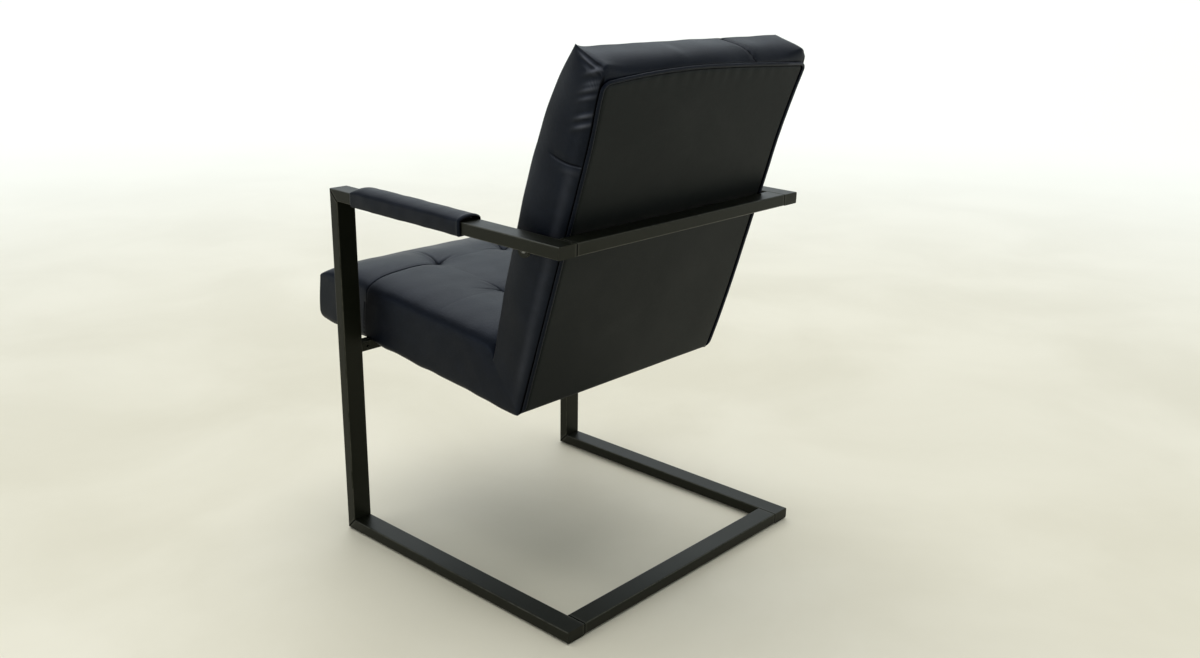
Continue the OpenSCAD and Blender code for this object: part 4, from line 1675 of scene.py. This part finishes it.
    def front_face(
        self, k: Array, depth: Array, edge: Array, left: Array, right: Array
    ) -> Array:
        """Draws the seat's front.

        Args:
            k: Places across.
            depth: Places from the bottom, 0, to the main face's edge, 1.
            edge: The main face's front edge.
            left: The left side's front edge.
            right: The right side's front edge.

        Returns:
            The points, as rows from the bottom up.
        """
        x = (self.half_width - self.under_draw) * k
        bottom = self.seat_axes.place(x, -self.seat_length + self.turn_in, 0.0)
        bottom[0], bottom[-1] = right[0], left[0]
        points = patch(bottom, edge, right, left, depth, (k + 1.0) / 2.0)
        swell = np.sin(np.pi * depth[:, None] ** 0.9) ** 0.7 * (1.0 - np.abs(k[None, :]) ** 10)
        points[..., 1] -= self.front_swell * swell
        return points

    def build(self, finishes: Finishes) -> bpy.types.Object:
        """Makes the shell.

        Args:
            finishes: The finishes.

        Returns:
            The shell.
        """
        k = self.columns()
        ups, backs = self.lines_down()
        depth = spaced(0.0, 1.0, 0.036, [(0.0, 0.5, 0.009), (1.0, 0.2, 0.016)])
        foot = len(ups) - 1
        main, main_dark = self.main_face(k, ups, backs)
        left, left_marks = self.side_face(main[:, -1], ups, backs, depth, Side.LEFT)
        right, right_marks = self.side_face(main[:, 0], ups, backs, depth, Side.RIGHT)
        top, top_dark = self.top_face(k, depth, main[0], left[0], right[0])
        front = self.front_face(k, depth, main[-1], left[-1], right[-1])
        under = self.under_face(k, left[foot:, 0], right[foot:, 0])

        rows, cols, deep = len(main), len(k), len(depth)
        main_no = numbered(0, rows, cols)
        left_no = np.hstack([numbered(main_no.size, rows, deep - 1), main_no[:, -1:]])
        right_no = np.hstack([numbered(left_no[-1, -2] + 1, rows, deep - 1), main_no[:, :1]])
        top_no = framed(right_no[-1, -2] + 1, deep, right_no[0], left_no[0], main_no[0])
        front_no = framed(top_no[-2, -2] + 1, deep, right_no[-1], left_no[-1], main_no[-1])
        right_low, left_low = right_no[foot:, 0], left_no[foot:, 0]
        under_no = framed(front_no[-2, -2] + 1, len(under), right_low, left_low, front_no[0])

        grids = (main, left[:, :-1], right[:, :-1], top[:-1, 1:-1], front[:-1, 1:-1])
        points = np.concatenate([grid.reshape(-1, 3) for grid in grids])
        faces = grid_faces(main_no) + grid_faces(left_no[:, ::-1]) + grid_faces(right_no)
        faces += grid_faces(top_no) + grid_faces(front_no[::-1])
        points = points + normals_of(points, faces) * (self.unevenness * ripple(points))[:, None]
        points = np.concatenate([points, under[:-1, 1:-1].reshape(-1, 3)])
        faces += grid_faces(under_no[:, ::-1])
        faces.append([*left_no[:foot, 0], *under_no[0][::-1], *right_no[:foot, 0][::-1], *top_no[0][1:-1]])
        # Painted shade in seams, creases and gaps goes in the first mask, painted highlight in the second
        masks = np.zeros((2, len(points)))
        masks[0, main_no], masks[0, top_no[:-1, 1:-1]] = main_dark, top_dark[:-1, 1:-1]
        masks[:, left_no[:, :-1]], masks[:, right_no[:, :-1]] = left_marks[..., :-1], right_marks[..., :-1]
        shell = make_object("Leather_Upholstery", points, faces, finishes.leather)
        mark(shell, seam=masks[0], wear=masks[1])
        return finish_piece(shell, ("seat_cushion", "back_cushion"))


def tube_mesh(path: Array, radii: Array, round_points: int) -> tuple[Array, list[Sequence[int]]]:
    """Sweeps a round section along a path and closes both ends.

    Args:
        path: The path's points.
        radii: The section's radius at each.
        round_points: Points round the section.

    Returns:
        The vertices and the faces.
    """
    ahead = np.gradient(path, axis=0)
    ahead /= np.linalg.norm(ahead, axis=1, keepdims=True)
    side = np.cross(ahead, np.cross(ahead[len(path) // 4], ahead[len(path) // 2]))
    side /= np.linalg.norm(side, axis=1, keepdims=True)
    other = np.cross(ahead, side)
    turn = np.linspace(0.0, 2.0 * math.pi, round_points, endpoint=False)
    ring = np.cos(turn)[None, :, None] * side[:, None] + np.sin(turn)[None, :, None] * other[:, None]
    points = path[:, None] + ring * radii[:, None, None]
    numbers = numbered(0, len(path), round_points)
    faces = [*grid_faces(closed(numbers)), numbers[0][::-1], numbers[-1]]
    return points.reshape(-1, 3), faces


@dataclass
class Piping:
    """The welt piping: a cord in a strip of leather, sewn round the rear panel on three sides."""

    plan: ShellPlan
    # Its depth inside the rear panel's plane, its rings' distance and the points on each
    depth: float = 0.0017
    step: float = 0.004
    round_points: int = 14
    # Its tucked ends: their height, how far they go in and how much thickness is left
    foot_height: float = 0.010
    foot_tuck: float = 0.0022
    foot_share: float = 0.55
    # How much its thickness wavers, as a share
    waver: float = 0.05
    # The painted highlight on the right's rear-facing side: how bright, from where, and how soon
    highlight_and_wear: float = 0.34
    highlight_from: float = 0.19
    highlight_fade: float = 0.02

    def build(self, finishes: Finishes) -> bpy.types.Object:
        """Makes the piping.

        Args:
            finishes: The finishes.

        Returns:
            The piping.
        """
        axes = self.plan.back_axes
        line = self.plan.outline(-self.plan.piping, self.step)
        foot = ramp(line[:, 1], 0.0, self.foot_height)
        tuck = self.foot_tuck * (axes.up_way - np.array([0.0, 1.0, 0.0]))
        path = axes.place(line[:, 0], -self.depth, line[:, 1]) + (1.0 - foot)[:, None] * tuck
        share = self.foot_share + (1.0 - self.foot_share) * foot
        radii = self.plan.piping * (1.0 + self.waver * ripple(path * 2.3)) * share
        points, faces = tube_mesh(path, radii, self.round_points)
        piping = make_object("Welt_Piping_Leather", points, faces, finishes.leather)
        # Painted highlight along the rear-facing side of the piping on the right
        outward = (points - np.repeat(path, self.round_points, axis=0))[:, 1] / self.plan.piping
        right_highlight = ramp(-points[:, 0], self.highlight_from, self.highlight_from + self.highlight_fade)
        mark(piping, wear=self.highlight_and_wear * right_highlight * np.clip(outward, 0.0, 1.0) ** 3)
        return finish_piece(piping, ("welt_piping",))


@dataclass
class RearPanel:
    """The flat rear panel, whose edges fall to the piping and gather a little under its top."""

    plan: ShellPlan
    # Its thickness, how far it reaches under the piping, and its grid's widest spacing
    thickness: float = 0.0054
    overlap: float = 0.0008
    coarse: float = 0.007
    # How far its edges and foot fall and how far in, and how far the right edge is drawn in
    edge_fall: float = 0.0034
    edge_reach: float = 0.008
    foot_fall: float = 0.004
    foot_reach: float = 0.007
    right_tuck: float = 0.0022
    # The gathers under its top: their number in a span, height, and reach down and across
    gathers: int = 13
    gather_span: float = 0.36
    gather_height: float = 0.0009
    gather_down: float = 0.020
    gather_across: float = 0.19
    # The leather's slow unevenness, and the line of painted shade at its edge by the piping
    unevenness: float = 0.0007
    rim_shade: float = 0.0013

    def build(self, finishes: Finishes) -> bpy.types.Object:
        """Makes the panel.

        Args:
            finishes: The finishes.

        Returns:
            The panel.
        """
        inset = 2.0 * self.plan.piping - self.overlap
        half, top = self.plan.half_width - inset, self.plan.panel_length - inset
        columns = spaced(0.0, half, self.coarse, [(half, 0.022, 0.0016)])
        across = np.concatenate([-columns[::-1], columns[1:]])
        up = spaced(0.0, top, self.coarse, [(top, 0.05, 0.0018), (0.0, 0.02, 0.0016)])
        limit = rounded(up, top, half, self.plan.bend - inset)
        x = across * (limit / half)[:, None] + self.right_tuck * ramp(across, 0.0, -half) ** 3
        x, high = self.plan.drawn(x, np.broadcast_to(up[:, None], x.shape))
        below_top = (top - up)[:, None]
        inner = np.minimum(half - np.abs(across), below_top)
        fall = self.edge_fall * (1.0 - roll(inner, self.edge_reach))
        foot = self.foot_fall * (1.0 - roll(up, self.foot_reach))[:, None]
        turns = 2.0 * math.pi * self.gathers * across / self.gather_span
        waver = np.maximum(np.sin(turns + 1.6 * np.sin(across * 31.0)), 0.0)
        pull = bell(below_top, self.gather_down) * np.exp(-((across / self.gather_across) ** 4))
        rear = self.plan.back_axes.place(x, -(fall + foot + self.gather_height * pull * waver), high)
        slow = ripple(rear.reshape(-1, 3) * 0.35).reshape(x.shape)
        rear[..., 1] += self.unevenness * slow * roll(inner, 0.08)
        front = self.plan.back_axes.place(x, -self.thickness, high)
        points = np.concatenate([rear.reshape(-1, 3), front.reshape(-1, 3)])
        panel = make_object("Rear_Panel_Leather", points, slab_faces(*x.shape), finishes.panel)
        # Painted shade along the panel's edge, in the gap by the piping
        mark(panel, seam=np.concatenate([bell(inner, self.rim_shade).ravel(), np.zeros(inner.size)]))
        return finish_piece(panel, ("rear_panel",))


@dataclass
class ArmSleeve:
    """A leather sleeve over an arm rail, domed over a foam pad, with folded hems and a sewn seam below."""

    # Which arm, its rail's middle, the uprights' front face and the rail's top at its front
    side: Side
    rail_x: float
    front: float
    top: float
    # Its start behind that face, its length, half its width and its sides' reach down and up
    start: float = 0.062
    length: float = 0.277
    half: float = 0.0222
    below: float = 0.0226
    shoulder: float = 0.0026
    # Its lower edges' bend, its sides' bulge, and its dome, which is lower at both ends
    bend: float = 0.0032
    bulge: float = 0.0009
    dome: float = 0.0122
    drop: float = 0.0020
    front_dome: float = 0.0036
    front_rise: tuple[float, float] = (0.028, 1.7)
    rear_dip: Bump = Bump(0.0, 0.016, 0.0012)
    # How far its ends are drawn in, and the rear hem with its lip and its line of painted shade
    front_tuck: Bump = Bump(0.0, 0.0012, 0.0010)
    rear_tuck: Bump = Bump(0.0, 0.0021, 0.0026)
    hem: float = 0.0052
    hem_lip: Bump = Bump(0.0, 0.0016, 0.0006)
    hem_shade: float = 0.0016
    # The leather's thickness, how far it is turned in, and its slow unevenness
    leather: float = 0.0027
    turned: float = 0.012
    unevenness: float = 0.00055

    def section(self, dome: float, shrink: float) -> Array:
        """Draws the closed section, from the middle of the underside round the outer side.

        Args:
            dome: Height of the dome.
            shrink: How far inside the outer skin the section runs.

        Returns:
            Places across and up.
        """
        half, low, bend = self.half - shrink, -self.below + shrink, self.bend
        high, edge = dome - shrink, self.shoulder - shrink * 0.5
        floor = np.linspace(0.0, half - bend, 9)
        turn = np.radians(np.linspace(-90.0, 0.0, 6))[1:]
        wall = np.linspace(low + bend, edge, 9)[1:]
        over = np.radians(np.linspace(0.0, 90.0, 19))[1:]
        swell = self.bulge * np.sin(np.pi * (wall - low) / (edge - low + 0.006))
        x = [floor, half - bend + bend * np.cos(turn), half + swell, half * np.cos(over) ** 0.92]
        z = [np.full_like(floor, low), low + bend + bend * np.sin(turn), wall]
        z.append(edge + (high - edge) * np.sin(over) ** 1.45)
        right = np.stack([np.concatenate(x), np.concatenate(z)], axis=1)
        return np.concatenate([right, right[-2:0:-1] * (-1.0, 1.0)])

    def ring(self, at: float) -> Array:
        """Draws the section at a place along the sleeve.

        Args:
            at: The place, from the front end.

        Returns:
            Places across and up.
        """
        before_end = self.length - at
        full = self.dome - self.drop * at / self.length
        dome = self.front_dome + (full - self.front_dome) * roll(at, *self.front_rise)
        tuck = self.front_tuck.over(at) + self.rear_tuck.over(before_end)
        lip = self.hem_lip.over(before_end - self.hem)
        return self.section(dome - self.rear_dip.over(before_end), tuck - lip)

    def build(self, finishes: Finishes) -> bpy.types.Object:
        """Makes the sleeve.

        Args:
            finishes: The finishes.

        Returns:
            The sleeve.
        """
        spots = [(end, 0.012, 0.0007) for end in (0.0, self.length)]
        spots += [(edge, 0.004, 0.0006) for edge in (self.hem, self.length - self.hem)]
        stations = spaced(0.0, self.length, 0.0040, spots)
        head = self.section(self.front_dome, self.leather)
        tail = self.section(self.dome - self.drop - 0.0008, self.leather)
        rings = np.stack([head, head, *(self.ring(at) for at in stations), tail, tail])
        inside = np.array([self.turned, 0.0006])
        places = np.concatenate([inside, stations, self.length - inside[::-1]])
        # Painted shade: a line at the rear hem, the turned-in ends inside, and the seam line underneath
        dark = np.concatenate([(0.0, 0.0), bell(self.length - stations, self.hem_shade), (1.0, 1.0)])[:, None]
        below = (np.abs(rings[..., 0]) < 0.0004) * (rings[..., 1] < -0.02) * 1.0
        along, fall = self.start + places[:, None], math.radians(ARM_SLOPE)
        x = self.side.value * (self.rail_x + rings[..., 0])
        y = self.front + along * math.cos(fall) + rings[..., 1] * math.sin(fall)
        z = self.top - along * math.sin(fall) + rings[..., 1] * math.cos(fall)
        points = np.stack([x, y, z], axis=-1).reshape(-1, 3)
        faces = grid_faces(closed(numbered(0, *x.shape))[:, :: -1 if self.side is Side.LEFT else 1])
        points = points + normals_of(points, faces) * (self.unevenness * ripple(points * 1.7))[:, None]
        name = f"{self.side.name.title()}_Arm_Sleeve_Leather"
        sleeve = make_object(name, points, faces, finishes.leather)
        mark(sleeve, seam=np.maximum(dark, below))
        return finish_piece(sleeve, (f"{self.side.name.lower()}_arm_sleeve",))


@dataclass
class ArmPad:
    """The foam pad between an arm rail and its sleeve, with rounded ends."""

    # Which arm, and the lowest and highest corners of the pad's room
    side: Side
    low: Vector
    high: Vector
    # Room below the sleeve and over the rail, and the share of the length that is filled
    clearance: float = 0.0006
    lift: float = 0.0002
    length_share: float = 0.996
    # The ends' roundness: its reach, and the shares of width and height that are left
    end_reach: float = 0.07
    end_width: float = 0.9
    end_height: float = 0.25
    # How much lower it is at the rear, as a share
    rear_fall: float = 0.12

    def build(self, finishes: Finishes) -> bpy.types.Object:
        """Makes the pad.

        Args:
            finishes: The finishes.

        Returns:
            The pad.
        """
        middle, half = (self.low + self.high) / 2.0, (self.high - self.low) / 2.0
        fall = math.tan(math.radians(ARM_SLOPE))
        turn = np.radians(np.linspace(0.0, 180.0, 25))
        along, turn = np.meshgrid(np.linspace(-1.0, 1.0, 61), turn, indexing="ij")
        full = roll(1.0 - np.abs(along), self.end_reach)
        width = (half.x - self.clearance) * (self.end_width + (1.0 - self.end_width) * full)
        height = 2.0 * half.z - 2.0 * half.y * fall - self.clearance
        height = height * (self.end_height + (1.0 - self.end_height) * full)
        height = height * (1.0 - self.rear_fall * (1.0 + along) / 2.0)
        x = middle.x + width * np.cos(turn)
        y = middle.y + half.y * along * self.length_share
        base = self.high.z - 2.0 * half.z + half.y * fall - (y - middle.y) * fall + self.lift
        points = np.stack([x, y, base + height * np.sin(turn) ** 0.8], axis=-1)
        numbers = numbered(0, *x.shape)
        faces = grid_faces(numbers[:, ::-1]) + grid_faces(numbers[:, [0, -1]])
        faces += [numbers[0][::-1].tolist(), numbers[-1].tolist()]
        name = f"{self.side.name.title()}_Arm_Pad_Foam"
        pad = make_object(name, points.reshape(-1, 3), faces, finishes.foam)
        return finish_piece(pad, (f"{self.side.name.lower()}_arm_pad",))


@dataclass
class DustCover:
    """The cloth stapled under the seat, which hides the webbing, and its staples."""

    plan: ShellPlan
    # Its flat width and length, its rear edge's place on the seat's axis, and its thickness
    width: float = 0.455
    length: float = 0.510
    rear: float = -0.011
    thickness: float = 0.0005
    # Its gap under the wooden frame, its sag and the sag's reach, and its hold near the seat bar
    gap: float = 0.0005
    sag: float = 0.0016
    sag_reach: float = 0.09
    bar_hold: float = 0.05
    # The staples' pull from the edge in, their distance, margin and room beside the seat bar
    pull: Bump = Bump(0.0, 0.012, 0.00012)
    pitch: float = 0.029
    margin: float = 0.0065
    bar_room: float = 0.022
    # Half a staple, as places from its middle and how deep each is in, and half its wire
    staple: tuple[tuple[float, float], ...] = ((0.0050, 0.0012), (0.0046, 0.0003), (0.0040, 0.0))
    wire: float = 0.00042

    def height(self, x: Array, back: Array) -> Array:
        """Gives the cloth's lower face, which sags a little between its edges and the bar.

        Args:
            x: Places across.
            back: Places along the seat's axis.

        Returns:
            Its heights over the seat's underside.
        """
        inner = np.minimum(self.rear - back, back - self.rear + self.length)
        inner = np.minimum(self.width / 2.0 - np.abs(x), inner)
        free = roll(inner, self.sag_reach) * (1.0 - bell(back - SEAT_BAR, self.bar_hold))
        pull = self.pull.over(inner) * np.cos((x + back) * 2.0 * math.pi / self.pitch)
        return -self.gap - self.thickness - self.sag * free - pull

    def build(self, finishes: Finishes) -> bpy.types.Object:
        """Makes the cover and its staples.

        Args:
            finishes: The finishes.

        Returns:
            The cover.
        """
        x = np.linspace(-self.width / 2.0, self.width / 2.0, 92)
        back = np.linspace(self.rear, self.rear - self.length, 103)
        x, back = np.meshgrid(x, back)
        low = self.height(x, back)
        axes = self.plan.seat_axes
        sides = np.stack([axes.place(x, back, low), axes.place(x, back, low + self.thickness)])
        faces = slab_faces(*x.shape, flipped=True)
        cover = make_object("Underside_Cover_Cloth", sides.reshape(-1, 3), faces, finishes.cloth)
        finish_piece(cover, ("dust_cover",))
        staples = self.staples(finishes)
        return cover

    def staples(self, finishes: Finishes) -> bpy.types.Object:
        """Makes the staples along the cover's edges.

        Args:
            finishes: The finishes.

        Returns:
            The staples, as one object.
        """
        half, middle = self.width / 2.0 - self.margin, self.rear - self.length / 2.0
        reach = self.length / 2.0 - self.margin
        spots = []
        for place in np.arange(-half + 0.012, half - 0.008, self.pitch):
            spots += [(place, middle + reach, 0.0), (place, middle - reach, 0.0)]
        for place in np.arange(-reach + 0.016, reach - 0.008, self.pitch):
            if abs(middle + place - SEAT_BAR) > self.bar_room:
                spots += [(half, middle + place, 90.0), (-half, middle + place, 90.0)]
        shape = np.array(self.staple)
        crown, drop = np.concatenate([shape * (-1.0, 1.0), shape[::-1]]).T
        points, faces = [], []
        for number, (x, back, turn) in enumerate(spots):
            way = math.radians(turn + 7.0 * math.sin(number * 2.4))
            height = self.height(np.array(x), np.array(back)) - 0.0003 + drop
            path = self.plan.seat_axes.place(x + crown * math.cos(way), back + crown * math.sin(way), height)
            ring, sides = tube_mesh(path, np.full(len(path), self.wire), 6)
            faces += [[int(v) + len(points) * len(ring) for v in side] for side in sides]
            points.append(ring)
        staples = make_object("Cover_Staples_Steel", np.concatenate(points), faces, finishes.zinc)
        return finish_piece(staples)


@dataclass(frozen=True)
class Sun:
    """A broad soft light that falls evenly on the whole floor."""

    # Its name, where it comes from, its strength, how many degrees of sky it fills, and its tint
    name: str
    way: tuple[float, float, float]
    power: float
    spread: float
    tint: tuple[float, float, float]

    def build(self) -> None:
        """Makes the light."""
        light = bpy.data.lights.new(self.name, "SUN")
        light.energy, light.angle, light.color = self.power, math.radians(self.spread), self.tint
        lamp = bpy.data.objects.new(self.name, light)
        lamp.rotation_euler = Vector(self.way).to_track_quat("Z", "Y").to_euler()
        bpy.context.scene.collection.objects.link(lamp)


@dataclass
class Studio:
    """The camera, the floor and the lights."""

    # The camera's place, its heading, tilt and roll in degrees, and its lens in millimetres
    eye: tuple[float, float, float] = (1.424615, 1.419487, 1.006625)
    angles: tuple[float, float, float] = (132.209, 17.535, 0.791)
    lens: float = 34.668
    sensor: float = 36.0
    # The floor's flat radius, its whole radius and its height there
    flat: float = 36.0
    reach: float = 57.0
    high: float = 9.0
    # The sky's colour and strength, and the lights
    sky: Colour = (0.88, 0.95, 1.0, 1.0)
    sky_power: float = 0.46
    suns: tuple[Sun, ...] = (
        Sun("Soft_Daylight", (-0.20, -0.30, 1.0), 2.1, 72.0, (0.96, 0.98, 1.0)),
        Sun("Bright_Wall", (-0.672, -0.672, 0.309), 0.28, 44.0, (0.84, 0.95, 1.0)),
        Sun("Window_Left", (0.903, -0.329, 0.276), 0.54, 34.0, (0.94, 0.97, 1.0)),
        Sun("Window_Behind", (-0.171, 0.970, 0.174), 0.44, 30.0, (0.96, 0.98, 1.0)),
    )

    def camera(self) -> None:
        """Makes the camera that sees the chair as the photograph does."""
        heading, tilt, turn = (math.radians(angle) for angle in self.angles)
        right = Vector((math.cos(heading), math.sin(heading), 0.0))
        level = Vector((math.sin(heading), -math.cos(heading), 0.0))
        back = level * math.cos(tilt) + Vector((0.0, 0.0, math.sin(tilt)))
        up = back.cross(right)
        right, up = right * math.cos(turn) + up * math.sin(turn), up * math.cos(turn) - right * math.sin(turn)
        lens = bpy.data.cameras.new("Camera")
        lens.sensor_width, lens.lens = self.sensor, self.lens
        camera = bpy.data.objects.new("Camera", lens)
        bpy.context.scene.collection.objects.link(camera)
        axes = Matrix((right, up, back)).transposed()
        camera.matrix_world = Matrix.Translation(Vector(self.eye)) @ axes.to_4x4()
        bpy.context.scene.camera = camera

    def floor(self, material: bpy.types.Material) -> None:
        """Makes the floor.

        Args:
            material: Its finish.
        """
        turn = np.radians(np.arange(0.0, 360.0, 4.0))
        radius = np.linspace(self.flat, self.reach, 12)[:, None]
        rise = self.high * ramp(radius, self.flat, self.reach) ** 2
        points = np.stack([radius * np.cos(turn), radius * np.sin(turn), rise + 0.0 * turn], axis=-1)
        numbers = numbered(0, len(radius), len(turn))
        faces = grid_faces(closed(numbers))
        ways = normals_of(points.reshape(-1, 3), faces)
        middle = numbers[0].tolist()
        faces.append(middle if ways[middle[0]][2] > 0.0 else middle[::-1])
        floor = make_object("Studio_Floor", points.reshape(-1, 3), faces, material)

    def build(self, material: bpy.types.Material) -> None:
        """Makes the whole studio.

        Args:
            material: The floor's finish.
        """
        self.camera()
        self.floor(material)
        world = bpy.data.worlds.new("Studio")
        world.use_nodes = True
        sky = world.node_tree.nodes["Background"]
        sky.inputs["Color"].default_value = self.sky
        sky.inputs["Strength"].default_value = self.sky_power
        bpy.context.scene.world = world
        bpy.context.scene.view_settings.view_transform = "Standard"
        for sun in self.suns:
            sun.build()


@dataclass
class SteelFrame:
    """The welded frame and the hard pieces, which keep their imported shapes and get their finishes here."""

    steel: tuple[str, ...] = (
        "left_upright", "right_upright", "left_arm_rail", "right_arm_rail", "left_base_rail",
        "right_base_rail", "base_crossbar", "back_crossbar", "seat_bar", "rail_end_plates",
        "left_arm_tab", "right_arm_tab",
    )
    zinc: tuple[str, ...] = ("side_spacers", "side_bolts", "side_tee_nuts", "seat_bolts", "seat_tee_nuts")
    plastic: tuple[str, ...] = (
        "front_left_glide", "front_right_glide", "rear_left_glide", "rear_right_glide",
    )
    wood: tuple[str, ...] = (
        "left_cheek", "right_cheek", "seat_front_rail", "seat_bolt_rail", "seat_rear_rail",
        "back_lumbar_rail", "back_top_rail",
    )
    cloth: tuple[str, ...] = ("seat_webbing", "back_webbing")

    def paint(self) -> PaintedSteel:
        """Works out where the tubes meet, for the paint.

        Returns:
            The paint.
        """
        upright_low, upright_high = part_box("left_upright")
        return PaintedSteel(
            joint_x=upright_low.x,
            arm_rear=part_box("back_crossbar")[1].y,
            base_rear=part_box("base_crossbar")[1].y,
            tube=upright_high.x - upright_low.x,
            front=upright_low.y,
            arm_top=upright_high.z,
        )

    def dress(self, finishes: Finishes) -> None:
        """Gives every hard piece its finish.

        Args:
            finishes: The finishes.
        """
        groups = (
            (self.steel, finishes.steel), (self.zinc, finishes.zinc), (self.plastic, finishes.plastic),
            (self.wood, finishes.plywood), (self.cloth, finishes.cloth),
        )
        for names, material in groups:
            for name in names:
                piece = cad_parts[name]
                piece.data.materials.clear()
                piece.data.materials.append(material)
            LOG.info("%s: %d pieces", material.name, len(names))


def main() -> None:
    """Builds the chair and its studio, one sub-assembly after another."""
    steel = SteelFrame()
    finishes = Finishes(steel.paint())
    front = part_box("left_upright")[0].y
    Studio().build(finishes.floor)
    steel.dress(finishes)
    plan = ShellPlan(front)
    LeatherShell(plan).build(finishes)
    Piping(plan).build(finishes)
    RearPanel(plan).build(finishes)
    DustCover(plan).build(finishes)
    for side in Side:
        low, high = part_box(f"{side.name.lower()}_upright")
        ArmSleeve(side, abs(low.x + high.x) / 2.0, low.y, high.z).build(finishes)
        ArmPad(side, *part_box(f"{side.name.lower()}_arm_pad")).build(finishes)
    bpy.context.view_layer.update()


if __name__ == "__main__":
    logging.basicConfig(level=logging.INFO, format="%(name)s: %(message)s")
    main()
